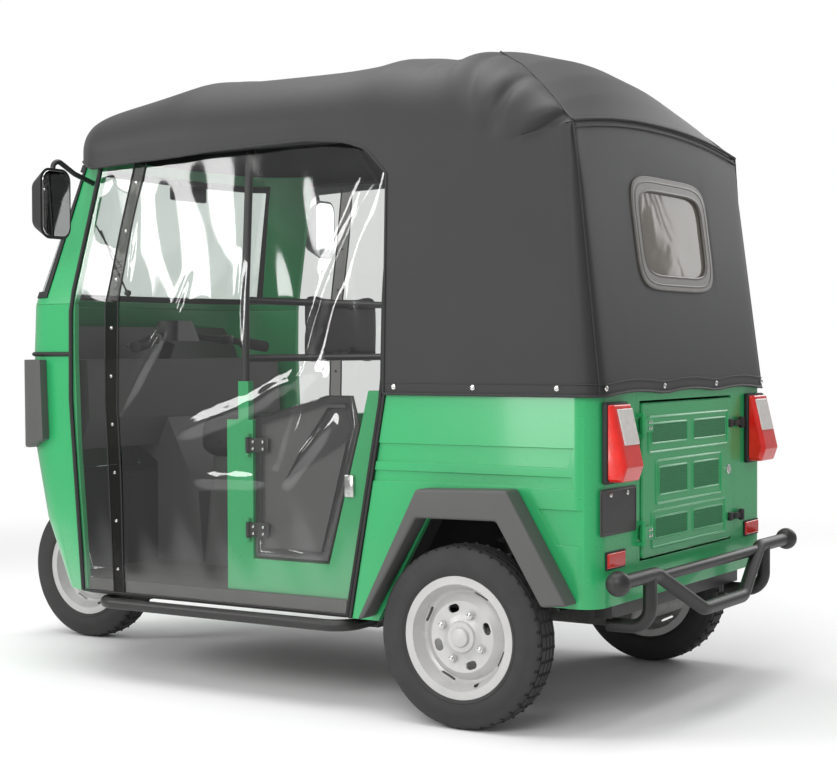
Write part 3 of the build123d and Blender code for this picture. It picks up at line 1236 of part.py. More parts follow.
for wheel in WHEELS:
    centre = (wheel.x, wheel.y, AXLE_Z)
    section_plane = Plane(centre, x_dir=(0, wheel.face, 0), z_dir=(wheel.face, 0, 0))
    spin_axis = Axis(centre, (0, 1, 0))
    rim_r = RIM_DIAMETER / 2
    with BuildPart() as rim:
        with BuildSketch(section_plane):
            with BuildLine():
                Polyline(
                    (-RIM_HALF, WELL_RADIUS),
                    (-RIM_HALF, rim_r),
                    (-RIM_HALF + FLANGE, rim_r),
                    (-RIM_HALF + FLANGE, RIM_SEAT_RADIUS),
                    (RIM_HALF - FLANGE, RIM_SEAT_RADIUS),
                    (RIM_HALF - FLANGE, rim_r),
                    (RIM_HALF, rim_r),
                    (RIM_HALF, WELL_RADIUS),
                    *DISC,
                    close=True,
                )
            make_face()
        revolve(axis=spin_axis)
        hole_plane = Plane(centre, x_dir=(1, 0, 0), z_dir=(0, wheel.face, 0))
        with BuildSketch(hole_plane.offset(-10)):
            with PolarLocations(HOLE_CIRCLE, DISC_HOLES, start_angle=HOLE_ANGLE):
                SlotOverall(HOLE_LENGTH, HOLE_WIDTH, rotation=90)
            with PolarLocations(SLOT_CIRCLE, DISC_HOLES, start_angle=HOLE_ANGLE + 45):
                SlotOverall(SLOT_LENGTH, SLOT_WIDTH, rotation=90)
        extrude(amount=CUT_DEPTH, mode=Mode.SUBTRACT)
        with BuildSketch(hole_plane.offset(BOSS_FOOT)):
            with PolarLocations(BOSS_CIRCLE, DISC_HOLES, start_angle=HOLE_ANGLE + 45):
                Circle(BOSS_RADIUS)
        extrude(amount=BOSS_HEIGHT, taper=BOSS_TAPER)
        if wheel.bore:
            with BuildSketch(hole_plane.offset(-BORE_BACK)):
                Circle(wheel.bore)
            extrude(amount=BORE_BACK + BORE_FRONT, mode=Mode.SUBTRACT)
        if wheel.shaft_end:
            with BuildSketch(hole_plane):
                Circle(AXLE_RADIUS)
            extrude(amount=-(WHEEL_Y - wheel.shaft_end))
    save(rim, f"{wheel.name}_rim")

    with BuildPart() as tyre:
        half = TYRE_WIDTH / 2
        outer_r = TYRE_DIAMETER / 2
        with BuildSketch(section_plane):
            with BuildLine():
                bead = RIM_HALF - FLANGE - FIT_GAP
                lip_r = rim_r + FIT_GAP
                seat_r = RIM_SEAT_RADIUS + FIT_GAP
                lip_y = half - BEAD_INSET
                tread_y = half - SHOULDER_INSET
                tread_r = outer_r - SHOULDER_DROP
                wall_r = rim_r + WALL_RISE
                lip_left = [(lip_y, lip_r), (bead, lip_r), (bead, seat_r)]
                lip_right = [(-bead, seat_r), (-bead, lip_r), (-lip_y, lip_r)]
                Polyline(*lip_left, *lip_right)
                ThreePointArc((-lip_y, lip_r), (-half, wall_r), (-tread_y, tread_r))
                ThreePointArc((-tread_y, tread_r), (0, outer_r), (tread_y, tread_r))
                ThreePointArc((tread_y, tread_r), (half, wall_r), (lip_y, lip_r))
            make_face()
        revolve(axis=spin_axis)
    save(tyre, f"{wheel.name}_tyre")
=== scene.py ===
import json
from collections import namedtuple
from math import cos, exp, pi, radians, sin

import bmesh
import bpy
from mathutils import Matrix, Vector
from mathutils.bvhtree import BVHTree


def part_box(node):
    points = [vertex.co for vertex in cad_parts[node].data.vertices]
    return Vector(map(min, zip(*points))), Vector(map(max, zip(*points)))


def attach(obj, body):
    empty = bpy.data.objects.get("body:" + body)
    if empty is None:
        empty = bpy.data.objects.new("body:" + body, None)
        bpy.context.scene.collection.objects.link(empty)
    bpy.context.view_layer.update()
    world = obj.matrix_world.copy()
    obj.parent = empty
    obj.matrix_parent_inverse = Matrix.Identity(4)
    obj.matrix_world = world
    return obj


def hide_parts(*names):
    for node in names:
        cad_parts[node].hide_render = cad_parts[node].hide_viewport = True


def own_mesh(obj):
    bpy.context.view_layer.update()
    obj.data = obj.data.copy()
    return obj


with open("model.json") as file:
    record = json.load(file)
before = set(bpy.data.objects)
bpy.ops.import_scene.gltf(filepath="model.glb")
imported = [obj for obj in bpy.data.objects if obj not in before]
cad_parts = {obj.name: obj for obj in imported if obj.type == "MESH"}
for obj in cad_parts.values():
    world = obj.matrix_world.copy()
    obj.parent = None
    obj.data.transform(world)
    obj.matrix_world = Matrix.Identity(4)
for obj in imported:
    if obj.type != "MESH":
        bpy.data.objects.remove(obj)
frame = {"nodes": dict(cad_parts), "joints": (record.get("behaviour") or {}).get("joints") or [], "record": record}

bl_info = {
    "name": "Auto rickshaw",
    "version": (1, 0, 0),
    "blender": (4, 5, 0),
    "location": "View3D > Sidebar > Rickshaw",
    "description": "Dresses the auto rickshaw's frame with its paint, cloth, glazing, tyres and trim",
    "category": "Object",
}

MM = 0.001
MIRROR = Vector((1, -1, 1))
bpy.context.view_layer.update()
BODY_OF = {
    node: body for body, nodes in frame["record"]["behaviour"]["bodies"].items() for node in nodes
}
JOINT_AT = {joint["name"]: Vector(joint["pos_m"]) for joint in frame["joints"]}
REAR_AXLE = JOINT_AT["rear_left_wheel_spin"]
FRONT_AXLE = JOINT_AT["front_wheel_spin"]
SIDES = (1, -1)
SIDE_NAMES = ((1, "left"), (-1, "right"))


def linear(code, alpha=1.0):
    """Linear colour of an sRGB hex value."""
    channels = [int(code[i:i + 2], 16) / 255 for i in (1, 3, 5)]
    return [c / 12.92 if c <= 0.04045 else ((c + 0.055) / 1.055) ** 2.4 for c in channels] + [alpha]


def colour(name, description, code):
    """Colour property whose default is an sRGB hex value."""
    return bpy.props.FloatVectorProperty(
        name=name, description=description, default=linear(code), size=4, subtype="COLOR"
    )


def length(name, description, size):
    """Length property whose default is in millimetres."""
    return bpy.props.FloatProperty(name=name, description=description, default=size * MM, unit="LENGTH")


class RickshawColours(bpy.types.PropertyGroup):
    """Colours that an owner would choose."""

    body: colour("Body", "Enamel of the body", "#2FA463")
    cloth: colour("Soft top", "Coated cloth of the soft top", "#2A2A2B")
    trim: colour("Trim", "Moulded flares and dash", "#50504F")
    lamp: colour("Lamp", "Lens of the tail lamps", "#D8241C")


class RickshawSizes(bpy.types.PropertyGroup):
    """Sizes of the dressed pieces, in metres."""

    edge: length("Panel edge", "Rounding of pressed panel edges", 2.5)
    snap: length("Snap", "Radius of the snaps along the hem", 8)
    tread: length("Tread", "Depth of the tyre tread", 6)
    pad_swell: length("Pad swell", "Most that a seat pad may swell", 12)


def per_mm(size):
    """Texture scale at which one feature is that many millimetres across."""
    return 1000.0 / size


def feed(tree, node, inputs):
    """Set or link a node's inputs."""
    for name, value in inputs.items():
        if isinstance(value, bpy.types.NodeSocket):
            tree.links.new(value, node.inputs[name])
        else:
            node.inputs[name].default_value = value


def add_node(tree, kind, inputs=None, **settings):
    """Add a shader node with its settings and links."""
    node = tree.nodes.new(kind)
    for name, value in settings.items():
        setattr(node, name, value)
    feed(tree, node, inputs or {})
    return node


def finish(paint):
    """The material that a paint function makes, made once."""
    found = bpy.data.materials.get(paint.__name__)
    if found:
        return found
    material = bpy.data.materials.new(paint.__name__)
    material.use_nodes = True
    paint(material.node_tree, material.node_tree.nodes["Principled BSDF"])
    return material


def tone(colour, gain):
    """A chosen colour made a little darker or lighter."""
    return [min(1.0, channel * gain) for channel in colour[:3]] + [1.0]


def object_place(tree):
    """Place on the object, which every pattern follows."""
    return add_node(tree, "ShaderNodeTexCoord").outputs["Object"]


def noise(tree, place, size, detail, distortion=0.0):
    """Soft pattern with features of a size in millimetres."""
    inputs = {"Vector": place, "Scale": per_mm(size), "Detail": detail, "Distortion": distortion}
    return add_node(tree, "ShaderNodeTexNoise", inputs).outputs["Fac"]


def bands(tree, place, size, direction):
    """Even bands. Upright ones repeat at 0.31 of the size, slanting ones at 0.36 of it."""
    inputs = {"Vector": place, "Scale": per_mm(size)}
    return add_node(tree, "ShaderNodeTexWave", inputs, bands_direction=direction).outputs["Fac"]


def two_tones(tree, share, dark, light):
    """Colour that runs from one tone to another with a pattern."""
    return add_node(tree, "ShaderNodeMix", {0: share, 6: dark, 7: light}, data_type="RGBA").outputs[2]


def ranged(tree, value, low, high=1.0):
    """A pattern brought between two values."""
    inputs = {"Value": value, "To Min": low, "To Max": high}
    return add_node(tree, "ShaderNodeMapRange", inputs).outputs["Result"]


def relief(tree, height, strength, distance):
    """Normal of a surface that stands up by a pattern."""
    inputs = {"Height": height, "Strength": strength, "Distance": distance}
    return add_node(tree, "ShaderNodeBump", inputs).outputs["Normal"]


def mix_out(tree, share, first, second):
    """Show two shaders mixed by a share."""
    mixed = add_node(tree, "ShaderNodeMixShader", {0: share, 1: first.outputs[0], 2: second.outputs[0]})
    feed(tree, tree.nodes["Material Output"], {"Surface": mixed.outputs[0]})


def grained(tree, shader, dark, light, patch, grain, bump, roughness):
    """Two close tones in soft patches, a fine grain in the surface and an uneven gloss."""
    place = object_place(tree)
    fine = noise(tree, place, grain, 4.0)
    surface = {
        "Base Color": two_tones(tree, noise(tree, place, patch, 3.0), dark, light),
        "Roughness": ranged(tree, fine, *roughness),
        "Normal": relief(tree, fine, bump, 0.3 * MM),
    }
    feed(tree, shader, surface)


def green_enamel(tree, shader):
    # Gloss enamel sprayed on pressed steel: an even green, clear reflections and a faint orange peel.
    body = bpy.context.scene.rickshaw_colours.body
    grained(tree, shader, tone(body, 0.94), tone(body, 1.08), 350, 6, 0.04, (0.24, 0.34))
    feed(tree, shader, {"Coat Weight": 0.35, "Coat Roughness": 0.08, "IOR": 1.5})


def grille_enamel(tree, shader):
    # The body enamel on fine pressed bars, dulled by dust; its colour is darkened to about half the body green as
    # painted shade, which stands in for the shade between the bars.
    body = bpy.context.scene.rickshaw_colours.body
    # Painted shade: both tones are the body green darkened, to look like the bars sitting in shade.
    grained(tree, shader, tone(body, 0.46), tone(body, 0.60), 40, 3, 0.1, (0.5, 0.66))


def coated_cloth(tree, shader):
    # Woven cloth with a vinyl coat: charcoal, nearly matt, with a fine weave and a soft sheen on its folds.
    place = object_place(tree)
    cloth = bpy.context.scene.rickshaw_colours.cloth
    # The threads are under a millimetre apart, drawn about 9 mm apart so that they show.
    warp = bands(tree, place, 25.2, "DIAGONAL")
    leather = noise(tree, place, 3, 5.0)
    height = add_node(tree, "ShaderNodeMath", {0: warp, 1: leather}, operation="ADD").outputs[0]
    surface = {
        "Base Color": two_tones(tree, noise(tree, place, 220, 3.0), tone(cloth, 0.86), tone(cloth, 1.16)),
        "Roughness": ranged(tree, leather, 0.46, 0.62),
        "Normal": relief(tree, height, 0.12, 0.4 * MM),
        "Specular IOR Level": 0.4,
        "Sheen Weight": 0.08,
        "Sheen Roughness": 0.4,
    }
    feed(tree, shader, surface)


def moulded_plastic(tree, shader):
    # Grained polypropylene moulding: dark grey, satin, with a pebbled surface.
    trim = bpy.context.scene.rickshaw_colours.trim
    grained(tree, shader, tone(trim, 0.88), tone(trim, 1.12), 160, 2.2, 0.22, (0.48, 0.62))


def black_plastic(tree, shader):
    # Black ABS: darker and a little glossier than the flares.
    grained(tree, shader, linear("#1B1B1C"), linear("#232324"), 120, 2.0, 0.12, (0.32, 0.46))


def powder_coat(tree, shader):
    # Black powder coat on steel tube: satin, with a fine baked texture.
    grained(tree, shader, linear("#202020"), linear("#2B2A29"), 90, 1.6, 0.16, (0.36, 0.5))


def tyre_rubber(tree, shader):
    # Vulcanised rubber: charcoal, matt, a little dusty.
    grained(tree, shader, linear("#262525"), linear("#343333"), 45, 1.8, 0.2, (0.62, 0.8))


def soft_rubber(tree, shader):
    # Extruded weather strip: black, dull.
    grained(tree, shader, linear("#161616"), linear("#1E1E1E"), 60, 1.5, 0.1, (0.5, 0.66))


def wheel_enamel(tree, shader):
    # Silver wheel enamel: fine aluminium flake, half metal, softly glossy.
    grained(tree, shader, linear("#B2B1B0"), linear("#C4C3C2"), 60, 0.9, 0.05, (0.34, 0.46))
    feed(tree, shader, {"Metallic": 0.3})


def bright_zinc(tree, shader):
    # Bright zinc plate on screws and snaps: hard white highlights.
    grained(tree, shader, linear("#C9C9C6"), linear("#E2E2DF"), 9, 0.7, 0.04, (0.16, 0.28))
    feed(tree, shader, {"Metallic": 1.0})


def pad_vinyl(tree, shader):
    # Grained seat vinyl: near black, soft gloss, leather pebble.
    grained(tree, shader, linear("#262526"), linear("#302F2F"), 130, 2.6, 0.3, (0.38, 0.52))


def floor_rubber(tree, shader):
    # Rubber floor mat: dark grey-brown, dusty.
    grained(tree, shader, linear("#3A3835"), linear("#4A4742"), 110, 3.0, 0.25, (0.6, 0.78))


def cast_alloy(tree, shader):
    # Sand-cast aluminium of the engine: grey, rough, a little oily.
    grained(tree, shader, linear("#5C5C5B"), linear("#7A7A78"), 25, 1.5, 0.4, (0.4, 0.6))
    feed(tree, shader, {"Metallic": 0.8})


def plate_paint(tree, shader):
    # Dark stove enamel of the blank number plate.
    grained(tree, shader, linear("#2A2828"), linear("#363434"), 50, 1.4, 0.06, (0.34, 0.44))


def welt_vinyl(tree, shader):
    # Grey welt round the rear window: smooth, slightly milky vinyl.
    grained(tree, shader, linear("#5F5C58"), linear("#6F6C68"), 30, 1.6, 0.1, (0.3, 0.44))


def silvered_glass(tree, shader):
    # Mirror glass: silver behind clear glass, near perfect.
    grained(tree, shader, linear("#C8CBCB"), linear("#D6D8D8"), 80, 1.0, 0.0, (0.02, 0.05))
    feed(tree, shader, {"Metallic": 1.0})


def red_lens(tree, shader):
    # Moulded red acrylic: deep colour that glows where light gets in, hard gloss.
    lamp = bpy.context.scene.rickshaw_colours.lamp
    grained(tree, shader, tone(lamp, 0.8), tone(lamp, 1.2), 26, 5.0, 0.25, (0.08, 0.16))
    feed(tree, shader, {"IOR": 1.49, "Coat Weight": 0.4, "Coat Roughness": 0.03})


def clear_lens(tree, shader):
    # Clear acrylic over a silvered bowl: white with a grey depth.
    grained(tree, shader, linear("#CFCAC6"), linear("#EDEAE6"), 14, 1.4, 0.03, (0.06, 0.14))
    feed(tree, shader, {"Transmission Weight": 0.1, "IOR": 1.49, "Coat Weight": 0.5, "Coat Roughness": 0.03})


def fluted_lens(tree, shader):
    # Headlamp lens: clear acrylic with upright flutes over the silvered bowl.
    clear_lens(tree, shader)
    # Real flutes are about 10 mm apart, drawn about 22 mm apart so that they show.
    flutes = bands(tree, object_place(tree), 69.3, "Y")
    feed(tree, shader, {"Normal": relief(tree, flutes, 0.7, 2 * MM)})


def film(tree, shader, tint, gloss, ripple, strength, veil="#F4F4F4", metal=1.0):
    """Thin clear sheet: mostly see-through, with a gloss that grows towards a glancing view."""
    normal = relief(tree, noise(tree, object_place(tree), ripple, 2.0, 0.6), strength, 6 * MM)
    feed(tree, shader, {"Base Color": linear(veil), "Metallic": metal, "Roughness": 0.06, "Normal": normal})
    edge = add_node(tree, "ShaderNodeLayerWeight", {"Blend": 0.5, "Normal": normal}).outputs["Facing"]
    steep = add_node(tree, "ShaderNodeMath", {0: edge, 1: 5.0}, operation="POWER").outputs[0]
    through = add_node(tree, "ShaderNodeBsdfTransparent", {"Color": linear(tint)})
    mix_out(tree, ranged(tree, steep, gloss), through, shader)


def curtain_vinyl(tree, shader):
    # Clear plasticised vinyl sheet: rippled, faintly smoky, with bright broken reflections.
    film(tree, shader, "#EFF0EF", 0.085, 260, 0.10)


def window_glass(tree, shader):
    # Laminated windscreen glass: flat, faintly green.
    film(tree, shader, "#EDF2EF", 0.07, 900, 0.02)


def window_vinyl(tree, shader):
    # Clear vinyl of the rear window: a little clouded and wavy.
    film(tree, shader, "#BDB8B1", 0.66, 160, 0.2, "#8A847C", 0.0)


def zip_vinyl(tree, shader):
    # Doubled strip of vinyl behind the zip: smoky, half clear.
    film(tree, shader, "#8E8C8A", 0.16, 60, 0.5, "#4A4948", 0.0)


def studio_floor(tree, shader):
    # Matt pale paper, fading into the white behind it.
    spread = add_node(tree, "ShaderNodeVectorMath", {0: object_place(tree)}, operation="LENGTH")
    inputs = {"Value": spread.outputs["Value"], "From Min": 2.2, "From Max": 5.5}
    fade = add_node(tree, "ShaderNodeMapRange", inputs, interpolation_type="SMOOTHSTEP")
    feed(tree, shader, {"Base Color": linear("#F6F6F6"), "Roughness": 0.9, "Specular IOR Level": 0.1})
    mix_out(tree, fade.outputs["Result"], shader, add_node(tree, "ShaderNodeBsdfTransparent"))


def piece(name, bm, paint, body, stands_for=(), smooth=38):
    """Turn a bmesh into a finished piece that rides on a body."""
    mesh = bpy.data.meshes.new(name)
    bm.to_mesh(mesh)
    bm.free()
    mesh.shade_smooth()
    mesh.set_sharp_from_angle(angle=radians(smooth))
    mesh.materials.append(finish(paint))
    obj = bpy.data.objects.new(name, mesh)
    bpy.context.scene.collection.objects.link(obj)
    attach(obj, body)
    if stands_for:
        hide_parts(*stands_for)
    return obj


def merged_copy(node):
    """Bmesh copy of a CAD node with its loose triangles joined into whole faces."""
    bm = bmesh.new()
    bm.from_mesh(frame["nodes"][node].data)
    bmesh.ops.remove_doubles(bm, verts=bm.verts, dist=0.02 * MM)
    bmesh.ops.dissolve_limit(bm, angle_limit=radians(0.6), verts=bm.verts, edges=bm.edges)
    return bm


def hard_edges(bm, angle):
    """Edges where the surface turns by more than an angle in degrees."""
    return [edge for edge in bm.edges if edge.is_manifold and edge.calc_face_angle() > radians(angle)]


def round_edges(bm, edges, width, segments=2, clamp=False):
    """Round some edges by a width."""
    bmesh.ops.bevel(
        bm, geom=edges, offset=width, offset_type="OFFSET", segments=segments, profile=0.5,
        affect="EDGES", material=-1, clamp_overlap=clamp,
    )


def flat_faces(obj):
    """Keep a piece's wide faces evenly shaded up to their rounded edges."""
    obj.modifiers.new("flat_faces", "WEIGHTED_NORMAL")


def surface_of(node):
    """Search tree of a CAD node's surface."""
    bm = merged_copy(node)
    surface = BVHTree.FromBMesh(bm)
    bm.free()
    return surface


def span(side, first, second):
    """Two sideways places on one side of the vehicle, in rising order."""
    return sorted((side * first, side * second))


HARD_ANGLE = 32


def soften(node, paint, width):
    """Copy of a CAD node with its hard edges rounded, standing for it."""
    bm = merged_copy(node)
    round_edges(bm, hard_edges(bm, HARD_ANGLE), width, clamp=True)
    flat_faces(piece(f"{node}_finished", bm, paint, BODY_OF[node], (node,)))


# Rigid nodes shown as they are modelled, with their edges rounded, and their finishes.
RIGID = {
    green_enamel: [
        "front_cowl", "screen_frame", "quarter_left", "quarter_right", "rear_panel", "side_panel_left",
        "side_panel_right", "partition", "engine_door",
    ],
    powder_coat: [
        "hood_frame", "rear_bumper", "step_bars", "rear_arms", "underframe", "fork", "handlebar",
        "seat_bulkhead",
    ],
    moulded_plastic: ["arch_flares", "dash_console", "driver_seat_base", "headlamp_housings"],
    black_plastic: ["arch_liners", "wheelhouse", "mirrors"],
    soft_rubber: ["screen_rubber", "edge_bands"],
    wheel_enamel: ["front_rim", "rear_left_rim", "rear_right_rim"],
    floor_rubber: ["floor_pan"],
    cast_alloy: ["engine_block"],
    plate_paint: ["number_plate"],
    red_lens: ["tail_lamps", "rear_reflectors"],
    fluted_lens: ["headlamp_lenses"],
    silvered_glass: ["mirror_glasses"],
    window_glass: ["windscreen"],
    window_vinyl: ["rear_window"],
}
# Pieces whose edges are rounder than a pressed panel's, as times the panel edge.
ROUNDER = {
    "arch_flares": 4.0, "mirrors": 2.0, "headlamp_housings": 2.0, "engine_block": 2.4, "tail_lamps": 1.6,
}


def add_sheet(bm, columns, rows, place):
    """Grid whose corner at column i and row j goes to place(i, j)."""
    made = bmesh.ops.create_grid(bm, x_segments=columns - 1, y_segments=rows - 1, size=1.0)
    for vert in made["verts"]:
        i = round((vert.co.x + 1) / 2 * (columns - 1))
        j = round((vert.co.y + 1) / 2 * (rows - 1))
        vert.co = place(i, j)


def add_bead(bm, points, radius, cyclic=False):
    """Round bead or tube along a line of points."""
    curve = bpy.data.curves.new("bead", "CURVE")
    curve.dimensions = "3D"
    curve.bevel_depth = radius
    curve.bevel_resolution = 2
    curve.use_fill_caps = True
    line = curve.splines.new("POLY")
    line.points.add(len(points) - 1)
    for spot, point in zip(line.points, points):
        spot.co = (*point, 1.0)
    line.use_cyclic_u = cyclic
    holder = bpy.data.objects.new("bead", curve)
    mesh = bpy.data.meshes.new_from_object(holder)
    bm.from_mesh(mesh)
    bpy.data.objects.remove(holder)
    bpy.data.curves.remove(curve)
    bpy.data.meshes.remove(mesh)


def add_block(bm, low, high, bevel):
    """Box between two corners with rounded edges."""
    made = bmesh.ops.create_cube(bm, size=1.0)["verts"]
    middle = (Vector(low) + Vector(high)) / 2
    size = Vector(high) - Vector(low)
    bmesh.ops.scale(bm, vec=size, verts=made)
    bmesh.ops.translate(bm, vec=middle, verts=made)
    round_edges(bm, list({edge for vert in made for edge in vert.link_edges}), bevel)


def add_turned(bm, outline, centre, axis, steps):
    """Shape turned about an axis from an outline of (radius, distance along the axis)."""
    axis = Vector(axis)
    across = axis.orthogonal().normalized()
    verts = [bm.verts.new(centre + across * radius + axis * along) for radius, along in outline]
    edges = [bm.edges.new(pair) for pair in zip(verts, verts[1:])]
    bmesh.ops.spin(
        bm, geom=verts + edges, cent=centre, axis=axis, angle=2 * pi, steps=steps, use_merge=True
    )
    bmesh.ops.remove_doubles(bm, verts=bm.verts, dist=0.01 * MM)
    bmesh.ops.recalc_face_normals(bm, faces=bm.faces)


def in_metres(outline):
    """Outline of a turned shape whose table is in millimetres."""
    return [(radius * MM, along * MM) for radius, along in outline]


def add_screws(bm, spots, axis, radius):
    """Domed screw heads at some spots, all facing one way."""
    dome = [(radius, 0), (radius, 0.25 * radius), (0.75 * radius, 0.55 * radius), (0, 0.7 * radius)]
    for spot in spots:
        add_turned(bm, dome, Vector(spot), axis, 14)


def between(table, x):
    """Row of a table worked out between its neighbours, by the first column."""
    rows = sorted(table)
    if x <= rows[0][0]:
        return rows[0]
    for low, high in zip(rows, rows[1:]):
        if x <= high[0]:
            share = (x - low[0]) / (high[0] - low[0])
            return tuple(a + share * (b - a) for a, b in zip(low, high))
    return rows[-1]


# Soft top: cross-sections of the cloth in millimetres ahead of the rear axle. half and eave: top of the
# upright edge, low: hem of the valance, shoulder: where the side turns into the roof, crown: its middle.
Bow = namedtuple("Bow", "x half low eave shoulder_y shoulder_z crown")
BOWS = [
    Bow(1560, 350, 1642, 1680, 215, 1722, 1734),
    Bow(1510, 448, 1620, 1654, 270, 1756, 1774),
    Bow(1443, 522, 1608, 1640, 288, 1778, 1797),
    Bow(1369, 568, 1578, 1628, 292, 1792, 1811),
    Bow(1200, 577, 1586, 1632, 292, 1821, 1841),
    Bow(1040, 582, 1591, 1640, 292, 1852, 1878),
    Bow(1015, 582, 1592, 1640, 292, 1852, 1878),
    Bow(890, 582, 1600, 1642, 290, 1842, 1866),
    Bow(531, 582, 1608, 1650, 290, 1840, 1865),
    Bow(400, 581, 1596, 1650, 290, 1848, 1873),
    Bow(335, 580, 1574, 1650, 292, 1860, 1885),
    Bow(315, 579, 1556, 1650, 292, 1860, 1885),
    Bow(262, 576, 1500, 1645, 290, 1850, 1874),
    Bow(200, 573, 1512, 1640, 288, 1842, 1866),
    Bow(130, 570, 1525, 1634, 286, 1846, 1870),
    Bow(85, 568, 1533, 1630, 285, 1858, 1882),
    Bow(65, 567, 1537, 1629, 287, 1856, 1880),
    Bow(-60, 563, 1560, 1621, 378, 1794, 1848),
    Bow(-160, 560, 1579, 1615, 454, 1724, 1794),
    Bow(-235, 557, 1592, 1610, 510, 1665, 1729),
    Bow(-296, 555, 1604, 1606, 555, 1609, 1650),
]
HEM_Z = 893.0
HEM_HALF = 599.0
EAVES_Z = 1606.0
REAR_LOW_X = -393.0
REAR_HIGH_X = -300.0
SIDE_FRONT_X = 262.0
CORNER_RADIUS = 66.0
JOIN_GAP = 10.0
SCALLOP = 10.0
REAR_SNAPS = (183.0, 545.0)
SIDE_SNAPS = (228, -23, -275)
SNAP_RISE = 19.0
TOP_POINTS, SHOULDER_POINTS, DROP_POINTS = 10, 28, 6
LAST_STEP = TOP_POINTS + SHOULDER_POINTS + DROP_POINTS
SIDE_COLUMNS = 57
CORNER_COLUMNS = 5
REAR_COLUMN = SIDE_COLUMNS + CORNER_COLUMNS
WALL_COLUMNS = REAR_COLUMN + TOP_POINTS + 1
WALL_ROWS = [893, 925, 1000, 1100, 1204, 1290, 1380, 1468]
WINDOW_LOW, WINDOW_HIGH, WINDOW_COLUMN = 1204, 1468, 4
WINDOW_HALF, WINDOW_RISE = 226.0, 130.0
WINDOW_SQUARE, WINDOW_PROUD = 0.36, 2.0
HIP_START_X = 65.0
# Front of the screen's header, where the cloth is tucked in: sideways and forward places in metres.
HEADER = [(0.0, 0.757), (0.19, 0.747), (0.32, 0.730), (0.41, 0.713), (0.47, 0.677)]
HEADER_Z = 1.628
HEADER_GAP = 4 * MM
TUCK_ROWS = 5
TUCK_DROP = 6 * MM
WIDE_BAY = 60.0
CLOTH_THICKNESS = 3 * MM
HIP_STEPS = 14
VALANCE_STEP = 25
CROWN_CURVE = 2.2
CORNER_TAPER = 0.6
# Creases that run down from the hip seam: start and end as distance ahead of the axle and height, in
# millimetres, then the ridge beside each crease, the valley in it, and how it dies away.
FOLDS = [(48, 1850, 7, 1672), (-109, 1740, -51, 1592), (-272, 1624, -128, 1552)]
RIDGE_HEIGHT, RIDGE_AWAY, RIDGE_WIDTH = 9.0, 44.0, 26.0
VALLEY_DEPTH, VALLEY_WIDTH = 19.0, 17.0
FOLD_FADE, FOLD_END = 0.85, 40.0


def cloth_place(x, y, z):
    """Row-frame point of a soft-top place given in millimetres from the rear axle."""
    return Vector((REAR_AXLE.x + x * MM, y * MM, z * MM))


def rise_of(z):
    """How far a height lies between the hem and the eaves, from 0 to 1."""
    return min(max((z - HEM_Z) / (EAVES_Z - HEM_Z), 0.0), 1.0)


def rear_x(z):
    """The rear wall leans forward towards the eaves."""
    return REAR_LOW_X + (REAR_HIGH_X - REAR_LOW_X) * rise_of(z)


def half_at(x, z):
    """Half width of the cloth's side at a place: the walls lean in from the hem."""
    eave_half = between(BOWS, x)[1]
    return HEM_HALF + (eave_half - HEM_HALF) * rise_of(z)


def fold_height(x, z):
    """How far the cloth stands out between the creases below the hip seam, and sinks into them."""
    stand = 0.0
    for start_x, start_z, end_x, end_z in FOLDS:
        run = Vector((end_x - start_x, end_z - start_z))
        spot = Vector((x - start_x, z - start_z))
        share = min(max(spot.dot(run) / run.length_squared, 0.0), 1.0)
        across = spot - run * share
        past_end = max(across.dot(run), 0.0) / run.length
        fade = (1.0 - FOLD_FADE * share) * exp(-((past_end / FOLD_END) ** 2))
        ridge = RIDGE_HEIGHT * exp(-(((across.length - RIDGE_AWAY) / RIDGE_WIDTH) ** 2))
        valley = VALLEY_DEPTH * exp(-((across.length / VALLEY_WIDTH) ** 2))
        stand += fade * (ridge - valley)
    return stand


def roof_place(x, step):
    """Point of the left half of the roof: step 0 is the crown, the last step is the lower edge."""
    bow = Bow(*between(BOWS, x))
    if step <= TOP_POINTS:
        share = step / TOP_POINTS
        y = bow.shoulder_y * share
        z = bow.crown - (bow.crown - bow.shoulder_z) * share ** CROWN_CURVE
    elif step <= TOP_POINTS + SHOULDER_POINTS:
        share = (step - TOP_POINTS) / SHOULDER_POINTS
        bend_y = bow.half * 0.985
        bend_z = bow.shoulder_z - 0.14 * (bow.shoulder_z - bow.eave)
        y = (1 - share) ** 2 * bow.shoulder_y + 2 * share * (1 - share) * bend_y + share ** 2 * bow.half
        z = (1 - share) ** 2 * bow.shoulder_z + 2 * share * (1 - share) * bend_z + share ** 2 * bow.eave
    else:
        share = (step - TOP_POINTS - SHOULDER_POINTS) / DROP_POINTS
        z = bow.eave + share * (bow.low - bow.eave)
        y = half_at(x, z)
    if step > TOP_POINTS and x > BOWS[-1].x:
        y += fold_height(x, z)
    return cloth_place(rear_x(z) if x <= BOWS[-1].x else x, y, z)


def scallop(y):
    """Rise of the rear hem, which is drawn up between its snaps."""
    near, far = REAR_SNAPS
    if y < near:
        return SCALLOP * cos(pi / 2 * y / near)
    return SCALLOP * sin(pi * min((y - near) / (far - near), 1.0))


def tuck_place(step, row):
    """Point of the strip that closes the roof's front, from its brow down to the screen's header."""
    brow = roof_place(BOWS[0].x, step)
    foot_x = between(HEADER, brow.y)[1] + HEADER_GAP
    foot = Vector((foot_x, brow.y, min(HEADER_Z, brow.z - TUCK_DROP)))
    return brow.lerp(foot, row / (TUCK_ROWS - 1))


def corner_radius(z, top):
    """Radius of the hood's rear corner, which tightens upwards to nothing at the roof."""
    return 0.0 if top else CORNER_RADIUS * (1 - CORNER_TAPER * rise_of(z))


